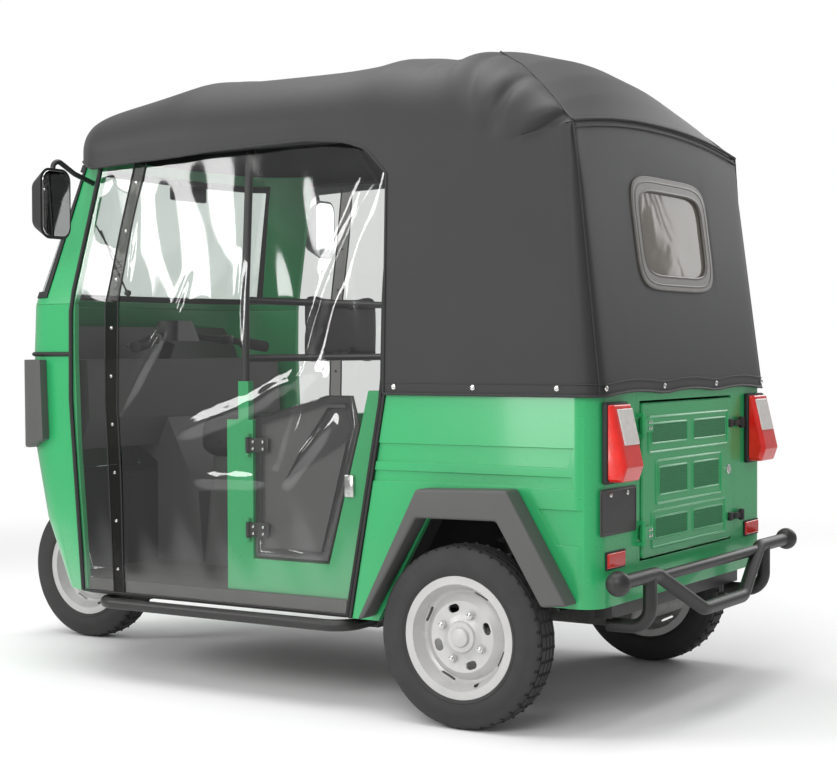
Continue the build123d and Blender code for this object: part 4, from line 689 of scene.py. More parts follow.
def side_place(column, row):
    """Point of the hood's left wall."""
    top = row == len(WALL_ROWS)
    share = column / (SIDE_COLUMNS - 1)
    station = SIDE_FRONT_X + share * (BOWS[-1].x - SIDE_FRONT_X)
    z = join_z = between(BOWS, station)[2]
    if top:
        return cloth_place(station, half_at(station, z), z)
    z = HEM_Z + (WALL_ROWS[row] - HEM_Z) * (join_z - JOIN_GAP - HEM_Z) / (WALL_ROWS[-1] - HEM_Z)
    x = SIDE_FRONT_X + share * (rear_x(z) + corner_radius(z, top) - SIDE_FRONT_X)
    return cloth_place(x, half_at(station, z) + fold_height(x, z), z)


def wall_place(column, row):
    """Point of the left half of the hood's walls, from the doorway to the middle of the rear."""
    if column < SIDE_COLUMNS:
        return side_place(column, row)
    top = row == len(WALL_ROWS)
    last = BOWS[-1]
    edge_share = 1.0
    turn = pi / 2
    top_z = last.shoulder_z
    if column < REAR_COLUMN:
        turn = (column - SIDE_COLUMNS + 1) / (CORNER_COLUMNS + 1) * pi / 2
    else:
        edge_share = 1 - (column - REAR_COLUMN) / TOP_POINTS
        top_z = last.crown - (last.crown - last.shoulder_z) * edge_share ** CROWN_CURVE
    z = top_z if top else WALL_ROWS[row]
    radius = corner_radius(z, top)
    half = half_at(last.x, z) - radius
    x = rear_x(z) + radius - radius * sin(turn)
    y = (half + radius * cos(turn)) * edge_share
    return cloth_place(x, y, z + (scallop(y) if row == 0 else 0.0))


def squared(value):
    """A circle's cosine or sine drawn out towards a square's corner."""
    return abs(value) ** WINDOW_SQUARE * (1 if value >= 0 else -1)


def window_line(reach, steps):
    """Rounded rectangle round the rear window, on the leaning rear wall, in the row frame."""
    line = []
    for i in range(steps):
        turn = 2 * pi * i / steps
        y = (WINDOW_HALF + reach) * squared(cos(turn))
        z = (WINDOW_LOW + WINDOW_HIGH) / 2 + (WINDOW_RISE + reach) * squared(sin(turn))
        line.append(cloth_place(rear_x(z) - WINDOW_PROUD, y, z))
    return line


class RICKSHAW_OT_soft_top(bpy.types.Operator):
    """Sew the soft top over its bows, with seams, hem, window welt and snaps"""

    bl_idname = "rickshaw.soft_top"
    bl_label = "Soft top"

    def execute(self, context):
        cloth = self.cloth()
        seams = self.seams()
        welt = self.welt()
        snaps = self.snaps(context.scene.rickshaw_sizes.snap)
        return {"FINISHED"}

    def stations(self):
        """Places along the roof, in millimetres ahead of the rear axle, from the brow to the rear edge."""
        front = [bow.x for bow in BOWS if bow.x > SIDE_FRONT_X + 1]
        places = []
        for ahead, behind in zip(front, front[1:] + [SIDE_FRONT_X]):
            places += [ahead, (ahead + behind) / 2] if ahead - behind > WIDE_BAY else [ahead]
        run = BOWS[-1].x - SIDE_FRONT_X
        return places + [SIDE_FRONT_X + i / (SIDE_COLUMNS - 1) * run for i in range(SIDE_COLUMNS)]

    def cloth(self):
        """One continuous sheet: roof, sides and rear wall."""
        bm = bmesh.new()
        stations = self.stations()
        add_sheet(bm, len(stations), LAST_STEP + 1, lambda i, j: roof_place(stations[i], j))
        add_sheet(bm, LAST_STEP + 1, TUCK_ROWS, tuck_place)
        add_sheet(bm, WALL_COLUMNS, len(WALL_ROWS) + 1, wall_place)
        bmesh.ops.remove_doubles(bm, verts=bm.verts, dist=2.5 * MM)
        rear_face = REAR_AXLE.x + (REAR_HIGH_X + 20) * MM
        half_window = WINDOW_COLUMN / TOP_POINTS * HEM_HALF * MM
        pane = [
            face
            for face in bm.faces
            if WINDOW_LOW * MM < face.calc_center_median().z < WINDOW_HIGH * MM
            and face.calc_center_median().x < rear_face
            and face.calc_center_median().y < half_window
        ]
        bmesh.ops.delete(bm, geom=pane, context="FACES")
        bmesh.ops.mirror(bm, geom=bm.verts[:] + bm.edges[:] + bm.faces[:], axis="Y", merge_dist=1 * MM)
        bmesh.ops.remove_doubles(bm, verts=bm.verts, dist=1 * MM)
        bmesh.ops.recalc_face_normals(bm, faces=bm.faces)
        top = max(bm.faces, key=lambda face: face.calc_center_median().z)
        if top.normal.z < 0:
            bmesh.ops.reverse_faces(bm, faces=bm.faces)
        cloth = piece("soft_top_cloth", bm, coated_cloth, "body", ("soft_top",), smooth=75)
        smoothing = cloth.modifiers.new("stretch", "SUBSURF")
        smoothing.levels = smoothing.render_levels = 1
        wall = cloth.modifiers.new("cloth", "SOLIDIFY")
        wall.thickness = CLOTH_THICKNESS
        wall.offset = -1.0
        cloth.modifiers.new("drape", "WEIGHTED_NORMAL")
        return cloth

    def whole(self, half):
        """Line from the left half that ends on the middle, carried on over the right half."""
        return half + [point * MIRROR for point in reversed(half[:-1])]

    def seams(self):
        """Piped hip seams, corner seams, the flap along the rear edge and the hems."""
        bm = bmesh.new()
        rows = range(len(WALL_ROWS) + 1)
        hip_run = BOWS[-1].x - HIP_START_X
        for side in SIDES:
            flip = Vector((1, side, 1))
            lift = Vector((0, 0, 1.5 * MM))
            hip = [HIP_START_X + i / HIP_STEPS * hip_run for i in range(HIP_STEPS + 1)]
            add_bead(bm, [(roof_place(x, TOP_POINTS) + lift) * flip for x in hip], 2.4 * MM)
            add_bead(bm, [wall_place(REAR_COLUMN - 2, row) * flip for row in rows], 2.2 * MM)
            edge = [wall_place(0, row) * flip for row in rows]
            add_bead(bm, edge, 4 * MM)
            along = range(BOWS[0].x, int(SIDE_FRONT_X), -VALANCE_STEP)
            valance = [roof_place(x, LAST_STEP) * flip for x in along]
            add_bead(bm, valance + [edge[-1]], 4 * MM)
        rear = self.whole([wall_place(REAR_COLUMN + i, len(WALL_ROWS)) for i in range(TOP_POINTS + 1)])
        add_bead(bm, rear, 4.5 * MM)
        drop = Vector((-3 * MM, 0, -20 * MM))
        add_bead(bm, [point + drop for point in rear], 2 * MM)
        hem = self.whole([wall_place(column, 0) for column in range(WALL_COLUMNS)])
        add_bead(bm, hem, 4 * MM)
        draw_in = Vector((1.0002, 0.9975, 1))
        lift = Vector((0, 0, 30 * MM))
        add_bead(bm, [point * draw_in + lift for point in hem], 1.6 * MM)
        front = [roof_place(BOWS[0].x, step) for step in range(LAST_STEP, -1, -1)]
        add_bead(bm, [point * MIRROR for point in front[:-1]] + front[::-1], 4 * MM)
        return piece("soft_top_seams", bm, coated_cloth, "body")

    def welt(self):
        """Pale welt round the rear window, with a stitched edge on each side."""
        bm = bmesh.new()
        steps = 96
        out = Vector((-3 * MM, 0, 0))
        lines = [window_line(reach, steps) for reach in (-8, 2, 14, 27)]
        for outer, inner in zip(lines[1:], lines):
            add_sheet(bm, steps + 1, 2, lambda i, j: (outer if j else inner)[i % steps] + out)
        bmesh.ops.remove_doubles(bm, verts=bm.verts, dist=0.05 * MM)
        bmesh.ops.recalc_face_normals(bm, faces=bm.faces)
        for reach, radius in ((-9, 5), (6, 3), (15, 4.5), (28, 3)):
            add_bead(bm, window_line(reach, steps), radius * MM, cyclic=True)
        return piece("window_welt", bm, welt_vinyl, "body")

    def snaps(self, radius):
        """Domed snaps along the hem."""
        bm = bmesh.new()
        z = HEM_Z + SNAP_RISE
        spots = []
        for side in SIDES:
            spots += [(cloth_place(x, half_at(x, z) * side, z), (0, side, 0)) for x in SIDE_SNAPS]
            spots += [(cloth_place(rear_x(z), y * side, z), (-1, 0, 0)) for y in REAR_SNAPS]
        dome = [(radius, 0), (radius, 2 * MM), (radius * 0.8, 4 * MM), (radius * 0.4, 5.4 * MM), (0, 6 * MM)]
        for centre, axis in spots:
            add_turned(bm, dome, centre, axis, 16)
        return piece("hem_snaps", bm, bright_zinc, "body")


# Curtains: edges of the clear sheet, in metres, as (height, x) rows from the sill to the eaves.
CURTAIN_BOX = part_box("curtain_left")
CURTAIN_FRONT = [(0.270, -0.500), (0.859, -0.452), (1.160, -0.455), (1.600, -0.552)]
CURTAIN_REAR = [(0.270, 0.390), (0.905, 0.271), (1.600, 0.253)]
CURTAIN_BEND_Z = 1.160
CURTAIN_LEAN = 45.0 / 480.0
CURTAIN_COLUMNS, CURTAIN_ROWS = 120, 130
BINDING_STEPS = 20
ZIP_AT, ZIP_HALF, ZIP_SNAPS = 0.150, 0.021, 9
# Folds of the sheet, in metres: start and end as distance ahead of the rear axle and height, then the
# width and height of the fold.
Fold = namedtuple("Fold", "x0 z0 x1 z1 width height")
CURTAIN_FOLDS = [
    Fold(0.300, 1.560, 0.640, 0.690, 0.020, 0.013),
    Fold(0.285, 1.540, 0.560, 0.960, 0.012, 0.008),
    Fold(0.330, 1.500, 0.470, 1.240, 0.010, 0.006),
    Fold(1.000, 1.150, 1.230, 0.830, 0.018, 0.012),
    Fold(0.960, 1.250, 1.010, 1.120, 0.012, 0.007),
    Fold(0.480, 0.960, 0.700, 0.880, 0.018, 0.011),
    Fold(0.660, 0.880, 1.000, 0.770, 0.022, 0.013),
    Fold(0.440, 0.820, 0.600, 0.640, 0.016, 0.010),
    Fold(0.680, 0.640, 0.930, 0.635, 0.015, 0.010),
    Fold(0.760, 1.300, 0.770, 1.020, 0.012, 0.007),
    Fold(1.180, 1.500, 1.200, 1.150, 0.012, 0.007),
]


def curtain_place(side, across, up):
    """Point of a curtain: across runs from front edge to rear edge, up from the sill to the eaves."""
    z = CURTAIN_BOX[0].z + up * (CURTAIN_BOX[1].z - CURTAIN_BOX[0].z)
    front = FRONT_AXLE.x + between(CURTAIN_FRONT, z)[1]
    rear = REAR_AXLE.x + between(CURTAIN_REAR, z)[1]
    x = front + across * (rear - front)
    hang = CURTAIN_BOX[1].y - 1.5 * MM - CURTAIN_LEAN * max(z - CURTAIN_BEND_Z, 0.0)
    free = min(1.0, 12 * min(across, 1 - across, 1 - up, up + 0.04))
    ahead = x - REAR_AXLE.x
    stand = 2.2 * MM * (1 + sin(17 * ahead + 5 * z)) + 1.2 * MM * (1 + sin(41 * ahead - 13 * z))
    for fold in CURTAIN_FOLDS:
        run = Vector((fold.x1 - fold.x0, fold.z1 - fold.z0))
        spot = Vector((ahead - fold.x0, z - fold.z0))
        share = min(max(spot.dot(run) / run.length_squared, 0.0), 1.0)
        gap = (spot - run * share).length
        taper = sin(pi * (0.08 + 0.84 * share))
        stand += fold.height * taper * exp(-((gap / fold.width) ** 2))
    return Vector((x, side * (hang + free * stand), z))


class RICKSHAW_OT_curtains(bpy.types.Operator):
    """Hang the clear side curtains with their bindings and zips"""

    bl_idname = "rickshaw.curtains"
    bl_label = "Clear curtains"

    def execute(self, context):
        for side, name in SIDE_NAMES:
            sheet = self.sheet(side, name)
            binding = self.binding(side, name)
            zipper = self.zipper(side, name)
            for part in (sheet, binding, *zipper):
                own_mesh(part)
        return {"FINISHED"}

    def sheet(self, side, name):
        """The clear sheet with its folds."""
        bm = bmesh.new()
        last_column, last_row = CURTAIN_COLUMNS - 1, CURTAIN_ROWS - 1
        add_sheet(
            bm, CURTAIN_COLUMNS, CURTAIN_ROWS, lambda i, j: curtain_place(side, i / last_column, j / last_row)
        )
        bmesh.ops.recalc_face_normals(bm, faces=bm.faces)
        return piece(f"curtain_{name}_sheet", bm, curtain_vinyl, "body", (f"curtain_{name}",), smooth=80)

    def binding(self, side, name):
        """Black tape sewn round the front, bottom and rear edges."""
        bm = bmesh.new()
        out = Vector((0, side * 1.5 * MM, 0))
        shares = [i / BINDING_STEPS for i in range(BINDING_STEPS + 1)]
        add_bead(bm, [curtain_place(side, 0, share) + out for share in reversed(shares)], 7 * MM)
        add_bead(bm, [curtain_place(side, share, 0) + out for share in shares], 4 * MM)
        add_bead(bm, [curtain_place(side, 1, share) + out for share in shares], 6 * MM)
        return piece(f"curtain_{name}_binding", bm, soft_rubber, "body")

    def zipper(self, side, name):
        """Zip in a doubled strip of vinyl, a hand's width behind the front edge."""
        bm = bmesh.new()
        rows = CURTAIN_ROWS
        out = Vector((0, side * 2 * MM, 0))

        def on_strip(share, up):
            return curtain_place(side, ZIP_AT + share * ZIP_HALF, up) + out

        for edge in (-1, 1):
            add_bead(bm, [on_strip(edge, j / rows) for j in range(rows + 1)], 2.6 * MM)
        tapes = piece(f"curtain_{name}_zip", bm, soft_rubber, "body")
        bm = bmesh.new()
        add_sheet(bm, 9, rows + 1, lambda i, j: on_strip(i / 4 - 1, j / rows))
        bmesh.ops.recalc_face_normals(bm, faces=bm.faces)
        strip = piece(f"curtain_{name}_strip", bm, zip_vinyl, "body", smooth=80)
        bm = bmesh.new()
        spots = [on_strip(0, (j + 0.5) / ZIP_SNAPS) for j in range(ZIP_SNAPS)]
        add_screws(bm, spots, (0, side, 0), 5 * MM)
        snaps = piece(f"curtain_{name}_snaps", bm, bright_zinc, "body")
        return [tapes, strip, snaps]


# Wheels: the piece's name and the side that its disc faces.
Wheel = namedtuple("Wheel", "name face")
WHEELS = [Wheel("front", 1), Wheel("rear_left", 1), Wheel("rear_right", -1)]
# Section of a tyre in millimetres: wall as height above the bead and inset from the widest place, shoulder as
# drop from the crown and the same inset, tread edge as drop and distance from the middle.
TYRE_WALL = [(-12, 16), (1, 6), (8, 1.5), (10, 3), (22, 0), (44, 1.2), (46, 2.4)]
TYRE_SHOULDER = [(20, 4), (9, 9)]
TREAD_EDGE = [(4.5, 42), (2.6, 33)]
TYRE_DEPTH = 81 * MM
GROOVES = (-31, -11, 9, 29)
# Each groove: share of the tread's depth and place across, in millimetres from its first edge.
GROOVE = [(0, 0), (1, 0.8), (1, 4.2), (0, 5)]
TYRE_STEPS = 132
SIPE_EVERY = 3
RIB_EDGE, SIPE_EDGE, SIPE_REACH = 36 * MM, 46 * MM, 8 * MM


class RICKSHAW_OT_tyres(bpy.types.Operator):
    """Mould the tyres: ribbed side walls, four grooves and siped shoulders"""

    bl_idname = "rickshaw.tyres"
    bl_label = "Tyres"

    def execute(self, context):
        depth = context.scene.rickshaw_sizes.tread
        for wheel in WHEELS:
            self.tyre(f"{wheel.name}_tyre", JOINT_AT[f"{wheel.name}_wheel_spin"], depth)
        return {"FINISHED"}

    def tyre(self, node, centre, depth):
        """One tyre, turned from its section, then siped across the shoulders."""
        low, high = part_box(node)
        outer = (high.z - low.z) / 2
        half = (high.y - low.y) / 2
        bead = outer - TYRE_DEPTH
        crown_drop, tread_half = TREAD_EDGE[-1]
        wall = [(bead + rise * MM, -half + inset * MM) for rise, inset in TYRE_WALL]
        wall += [(outer - drop * MM, -half + inset * MM) for drop, inset in TYRE_SHOULDER]
        wall += [(outer - drop * MM, -away * MM) for drop, away in TREAD_EDGE]
        tread = []
        for y in GROOVES:
            top = outer - crown_drop * MM * (abs(y + 1) / tread_half) ** 2
            tread += [(top - share * depth, (y + across) * MM) for share, across in GROOVE]
        bm = bmesh.new()
        other_wall = [(radius, -along) for radius, along in reversed(wall)]
        add_turned(bm, wall + tread + other_wall, centre, (0, 1, 0), TYRE_STEPS)
        self.sipe(bm, centre, outer, depth)
        piece(f"{node}_rubber", bm, tyre_rubber, BODY_OF[node], (node,), smooth=30)

    def sipe(self, bm, centre, outer, depth):
        """Sink every third face of the tread ribs and shoulders to make the cross cuts."""
        step = 2 * pi / TYRE_STEPS
        cut = []
        for face in bm.faces:
            spot = face.calc_center_median() - centre
            radius = Vector((spot.x, 0, spot.z)).length
            angle = Vector((spot.x, spot.z)).angle_signed(Vector((1, 0))) % (2 * pi)
            place = int(round(angle / step - 0.5)) % SIPE_EVERY
            on_tread = radius > outer - SIPE_REACH and abs(spot.y) < SIPE_EDGE
            if on_tread and place == (0 if abs(spot.y) > RIB_EDGE else 1):
                cut.append(face)
        bmesh.ops.inset_individual(bm, faces=cut, thickness=1.6 * MM, depth=0.0)
        bmesh.ops.inset_individual(bm, faces=cut, thickness=0.4 * MM, depth=-0.6 * depth)


PAD_NODES = ("driver_cushion", "driver_backrest", "passenger_cushion", "passenger_backrest")
PAD_VOXEL = 6 * MM
PAD_SHRINK = 0.7
PAD_PRESSURE = 4.0
PAD_FRAMES = 20


class RICKSHAW_OT_seats(bpy.types.Operator):
    """Swell the seat pads under their vinyl covers"""

    bl_idname = "rickshaw.seats"
    bl_label = "Seats"

    def execute(self, context):
        cap = context.scene.rickshaw_sizes.pad_swell
        for node in PAD_NODES:
            self.pad(context, node, cap)
        return {"FINISHED"}

    def pad(self, context, node, cap):
        """One pad: a slightly smaller copy of its solid, blown up as cloth."""
        low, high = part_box(node)
        middle = (low + high) / 2
        size = high - low
        bm = merged_copy(node)
        bmesh.ops.triangulate(bm, faces=bm.faces)
        shrink = Vector([1 - 2 * PAD_SHRINK * cap / side for side in size])
        for vert in bm.verts:
            vert.co = middle + (vert.co - middle) * shrink
        pad = piece(f"{node}_pad", bm, pad_vinyl, BODY_OF[node], (node,), smooth=80)
        remesh = pad.modifiers.new("remesh", "REMESH")
        remesh.mode = "VOXEL"
        remesh.voxel_size = PAD_VOXEL
        self.apply(context, pad)
        self.swell(context, pad, cap)
        rounding = pad.modifiers.new("rounding", "SUBSURF")
        rounding.levels = rounding.render_levels = 1
        pad.data.shade_smooth()

    def apply(self, context, obj):
        """Bake an object's modifiers into its mesh."""
        context.view_layer.update()
        mesh = bpy.data.meshes.new_from_object(obj.evaluated_get(context.evaluated_depsgraph_get()))
        obj.modifiers.clear()
        obj.data = mesh

    def swell(self, context, pad, cap):
        """Inflate the pad as cloth and keep each point within the cap of where it began."""
        start = [vert.co.copy() for vert in pad.data.vertices]
        cover = pad.modifiers.new("cover", "CLOTH")
        cover.settings.use_pressure = True
        cover.settings.uniform_pressure_force = PAD_PRESSURE
        cover.settings.effector_weights.gravity = 0.0
        for number in range(1, PAD_FRAMES + 1):
            context.scene.frame_set(number)
        self.apply(context, pad)
        for vert, place in zip(pad.data.vertices, start):
            shift = vert.co - place
            vert.co = place + shift * min(1.0, cap / max(shift.length, 1e-9))
        context.scene.frame_set(1)


def add_slat(bm, centre, size, tilt):
    """Thin box of a size, tilted about the vehicle's cross axis."""
    made = bmesh.ops.create_cube(bm, size=1.0)["verts"]
    bmesh.ops.scale(bm, vec=size, verts=made)
    bmesh.ops.rotate(bm, cent=(0, 0, 0), matrix=Matrix.Rotation(radians(tilt), 3, "Y"), verts=made)
    bmesh.ops.translate(bm, vec=centre, verts=made)


def frame_line(x, y0, y1, z0, z1, corner):
    """Closed line round a rounded rectangle on an upright plane across the vehicle."""
    line = []
    for turn, y, z in ((0, y1, z1), (90, y0, z1), (180, y0, z0), (270, y1, z0)):
        middle = Vector((x, y - corner * (1 if y == y1 else -1), z - corner * (1 if z == z1 else -1)))
        for step in range(5):
            angle = radians(turn + step * 22.5)
            line.append(middle + Vector((0, corner * cos(angle), corner * sin(angle))))
    return line


# Vents of the engine door: heights and half reach in metres, as they are cut in the door.
Vent = namedtuple("Vent", "low high left inner")
VENTS = [
    Vent(0.757, 0.811, 0.262, 0.022),
    Vent(0.614, 0.690, 0.212, 0.020),
    Vent(0.496, 0.553, 0.241, 0.020),
]
GRILLE_PITCH, GRILLE_PROUD, GRILLE_TILT = 4.6 * MM, 1.2 * MM, 12
BAR_THICKNESS, BAR_HEIGHT = 1.6 * MM, 4 * MM
SURROUND_SIDE, SURROUND_FOOT, SURROUND_HEAD = 18 * MM, 24 * MM, 18 * MM
DOOR_FACE = 16 * MM
LATCH_HEIGHTS = (0.791, 0.511)
LOCK_AT = (-0.283, 0.654)
PLATE_SCREW_Z, PLATE_SCREW_REACH = 0.634, 50 * MM
LAMP_WIDTH, REFLECTOR_WIDTH = 124 * MM, 110 * MM
CLEAR_SIZE, CLEAR_TILT = (5 * MM, 88 * MM, 96 * MM), 13.4


class RICKSHAW_OT_rear(bpy.types.Operator):
    """Fit the rear: vent frames and grilles, latches, lock, lamp gaskets and plate screws"""

    bl_idname = "rickshaw.rear"
    bl_label = "Rear fittings"

    def execute(self, context):
        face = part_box("engine_door")[0].x + DOOR_FACE
        self.vents(face)
        self.latches(face)
        self.lamps()
        self.plate()
        return {"FINISHED"}

    def vents(self, face):
        """Pressed surround of every pair of vents, and a frame and a grille of fine bars in each vent."""
        frames = bmesh.new()
        bars = bmesh.new()
        for vent in VENTS:
            reach = vent.left + SURROUND_SIDE
            low, high = vent.low - SURROUND_FOOT, vent.high + SURROUND_HEAD
            add_bead(frames, frame_line(face, -reach, reach, low, high, 8 * MM), 3.6 * MM, cyclic=True)
            rows = round((vent.high - vent.low) / GRILLE_PITCH)
            for side in SIDES:
                y0, y1 = span(side, vent.inner, vent.left)
                add_bead(frames, frame_line(face, y0, y1, vent.low, vent.high, 6 * MM), 3.2 * MM, cyclic=True)
                size = (BAR_THICKNESS, y1 - y0, BAR_HEIGHT)
                for row in range(rows):
                    z = vent.low + (row + 0.5) * (vent.high - vent.low) / rows
                    add_slat(bars, (face - GRILLE_PROUD, (y0 + y1) / 2, z), size, GRILLE_TILT)
        piece("engine_door_vents", frames, green_enamel, "engine_door")
        # The grille bars' much darker green is painted shade.
        piece("engine_door_grilles", bars, grille_enamel, "engine_door")

    def latches(self, face):
        """Rubber pulls on the panel, their keepers on the door, the lock and the hinge screws."""
        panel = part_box("number_plate")[1].x
        bm = bmesh.new()
        keepers = bmesh.new()
        for z in LATCH_HEIGHTS:
            up = 9 * MM
            add_block(bm, (panel - 14 * MM, -0.378, z - up), (panel, -0.322, z + up), 4 * MM)
            up = 17 * MM
            add_block(bm, (panel - 18 * MM, -0.388, z - up), (panel - 3 * MM, -0.370, z + up), 4 * MM)
            up = 12 * MM
            add_block(keepers, (face - 9 * MM, -0.310, z - up), (face + 1 * MM, -0.284, z + up), 3 * MM)
        piece("engine_door_pulls", bm, soft_rubber, "body")
        piece("engine_door_keepers", keepers, soft_rubber, "engine_door")
        bm = bmesh.new()
        lock = [(14, 0), (14, 4), (12, 6), (4, 6), (3, 4), (0, 4)]
        add_turned(bm, in_metres(lock), Vector((face, *LOCK_AT)), (-1, 0, 0), 24)
        low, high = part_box("engine_door")
        for z in (low.z + 70 * MM, high.z - 60 * MM):
            x = low.x + 1 * MM
            spots = [(x, y, z + 8 * MM * side) for y in (0.290, 0.304) for side in SIDES]
            add_screws(bm, spots, (-1, 0, 0), 4 * MM)
        piece("engine_door_lock", bm, bright_zinc, "engine_door")

    def lamps(self):
        """Black gaskets behind the lamps and reflectors, and the clear part of each lamp."""
        low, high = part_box("tail_lamps")
        foot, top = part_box("rear_reflectors")
        bm = bmesh.new()
        clear = bmesh.new()
        for side in SIDES:
            y0, y1 = span(side, high.y - LAMP_WIDTH, high.y + 6 * MM)
            near = (high.x + 1 * MM, y1, high.z + 6 * MM)
            add_block(bm, (high.x - 15 * MM, y0, low.z - 6 * MM), near, 5 * MM)
            y0, y1 = span(side, top.y - REFLECTOR_WIDTH, top.y + 4 * MM)
            near = (top.x + 1 * MM, y1, top.z + 4 * MM)
            add_block(bm, (top.x - 4 * MM, y0, foot.z - 4 * MM), near, 1.5 * MM)
            spot = (low.x + 23.5 * MM, side * (high.y - 64 * MM), low.z + 142 * MM)
            add_slat(clear, spot, CLEAR_SIZE, CLEAR_TILT)
        round_edges(clear, clear.edges[:], 2 * MM)
        piece("lamp_gaskets", bm, soft_rubber, "body")
        flat_faces(piece("lamp_clear_parts", clear, clear_lens, "body"))

    def plate(self):
        """Rolled border and two screws of the blank number plate."""
        low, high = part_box("number_plate")
        bm = bmesh.new()
        inset = 5 * MM
        border = frame_line(low.x, low.y + inset, high.y - inset, low.z + inset, high.z - inset, 8 * MM)
        add_bead(bm, border, 1.6 * MM, cyclic=True)
        piece("plate_border", bm, plate_paint, "body")
        bm = bmesh.new()
        middle = (low.y + high.y) / 2
        spots = [(low.x, middle + side * PLATE_SCREW_REACH, PLATE_SCREW_Z) for side in SIDES]
        add_screws(bm, spots, (-1, 0, 0), 6.5 * MM)
        piece("plate_screws", bm, bright_zinc, "body")


# Half doors: middle plane, and reach of the pane and of the moulded panel either side of it.
DOOR_MIDDLE, PANE_REACH, PANEL_REACH, FRAME_REACH = 18.5 * MM, 3.2 * MM, 8.2 * MM, 8.5 * MM
DOOR_LEAVES = (0.490, 0.737)
LATCH_X, LATCH_SCREWS = -0.419, (0.612, 0.650)


class RICKSHAW_OT_doors(bpy.types.Operator):
    """Finish the half doors: tube frame, clear pane, moulded panel, hinge screws and latch"""

    bl_idname = "rickshaw.doors"
    bl_label = "Half doors"

    def execute(self, context):
        for side, name in SIDE_NAMES:
            self.door(side, name)
            self.fittings(side, name)
        return {"FINISHED"}

    def door(self, side, name):
        """The door's solid with its frame rounded and its pane and panel in their own materials."""
        node = f"door_{name}"
        low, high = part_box(node)
        bm = merged_copy(node)
        middle = side * (min(abs(low.y), abs(high.y)) + DOOR_MIDDLE)
        frame_edges = [
            edge
            for edge in hard_edges(bm, HARD_ANGLE)
            if all(abs(vert.co.y - middle) > FRAME_REACH for vert in edge.verts)
        ]
        round_edges(bm, frame_edges, 6 * MM, segments=3)
        for face in bm.faces:
            reach = abs(face.calc_center_median().y - middle)
            if reach < PANE_REACH and abs(face.normal.y) > 0.9:
                face.material_index = 1
            elif reach < PANEL_REACH:
                face.material_index = 2
        door = piece(f"{node}_finished", bm, powder_coat, BODY_OF[node], (node,))
        door.data.materials.append(finish(curtain_vinyl))
        door.data.materials.append(finish(moulded_plastic))
        flat_faces(door)

    def fittings(self, side, name):
        """Silver screws on the hinge leaves and the latch plate at the rear edge."""
        low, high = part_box(f"door_{name}")
        hinge = JOINT_AT[f"{name}_door_hinge"]
        out = max(abs(low.y), abs(high.y))
        bm = bmesh.new()
        spots = []
        for z in DOOR_LEAVES:
            for reach in (22 * MM, 58 * MM):
                x, y = hinge.x - reach, side * (out - 2.5 * MM)
                spots += [(x, y, z - 10 * MM), (x, y, z + 10 * MM)]
        y0, y1 = span(side, out - 11 * MM, out - 8 * MM)
        add_block(bm, (LATCH_X - 15 * MM, y0, 0.600), (LATCH_X + 15 * MM, y1, 0.662), 1.2 * MM)
        spots += [(LATCH_X, side * (out - 8 * MM), z) for z in LATCH_SCREWS]
        add_screws(bm, spots, (0, side, 0), 4.5 * MM)
        piece(f"door_{name}_fittings", bm, bright_zinc, f"{name}_door")


# Wheel fittings in millimetres: outlines as radius and distance out from the wheel's middle.
HUB_CAP = [(27, 35), (27, 39), (24, 43), (14, 45.5), (0, 46)]
STUD_TIP = [(6, 38), (5, 42), (0, 43)]
VALVE = [(4.5, 10), (4, 30), (3, 31), (3.4, 38), (0, 39)]
NUT_CIRCLE, NUT_OUT, NUT_ANGLES = 66 * MM, 34 * MM, (65, 155, 245, 335)
NUT_FOOT, NUT_TOP, NUT_HEIGHT = 10 * MM, 9.4 * MM, 9 * MM
VALVE_CIRCLE, VALVE_ANGLE = 133 * MM, 110


class RICKSHAW_OT_wheels(bpy.types.Operator):
    """Fit wheel nuts, hub caps and valves"""

    bl_idname = "rickshaw.wheels"
    bl_label = "Wheel fittings"

    def execute(self, context):
        for wheel in WHEELS:
            self.fittings(wheel)
        return {"FINISHED"}

    def fittings(self, wheel):
        """Hub cap, four nuts on their bosses and the valve of one wheel."""
        centre = JOINT_AT[f"{wheel.name}_wheel_spin"]
        body = BODY_OF[f"{wheel.name}_rim"]
        out = Vector((0, wheel.face, 0))

        def round_from(degrees, radius):
            angle = radians(degrees)
            return centre + Vector((cos(angle), 0, -wheel.face * sin(angle))) * radius

        bm = bmesh.new()
        add_turned(bm, in_metres(HUB_CAP), centre, out, 40)
        piece(f"{wheel.name}_hub_cap", bm, wheel_enamel, body)
        bm = bmesh.new()
        facing = out.to_track_quat("Z", "X").to_matrix()
        for angle in NUT_ANGLES:
            stud = round_from(angle, NUT_CIRCLE)
            made = bmesh.ops.create_cone(
                bm, cap_ends=True, segments=6, radius1=NUT_FOOT, radius2=NUT_TOP, depth=NUT_HEIGHT
            )["verts"]
            bmesh.ops.rotate(bm, cent=(0, 0, 0), matrix=facing, verts=made)
            bmesh.ops.translate(bm, vec=stud + out * NUT_OUT, verts=made)
            add_turned(bm, in_metres(STUD_TIP), stud, out, 12)
        round_edges(bm, hard_edges(bm, 50), 0.8 * MM)
        piece(f"{wheel.name}_nuts", bm, bright_zinc, body)
        bm = bmesh.new()
        add_turned(bm, in_metres(VALVE), round_from(VALVE_ANGLE, VALVE_CIRCLE), out, 14)
        piece(f"{wheel.name}_valve", bm, soft_rubber, body)


# Cab, in metres on the left side: ends of the grip, line of the lever, and the clamp that holds it.
GRIP = (Vector((0.603, 0.250, 1.040)), Vector((0.575, 0.345, 1.025)))
GRIP_RIBS = 11
LEVER = [(0.632, 0.190, 1.052), (0.650, 0.225, 1.050), (0.640, 0.285, 1.038), (0.618, 0.340, 1.026)]
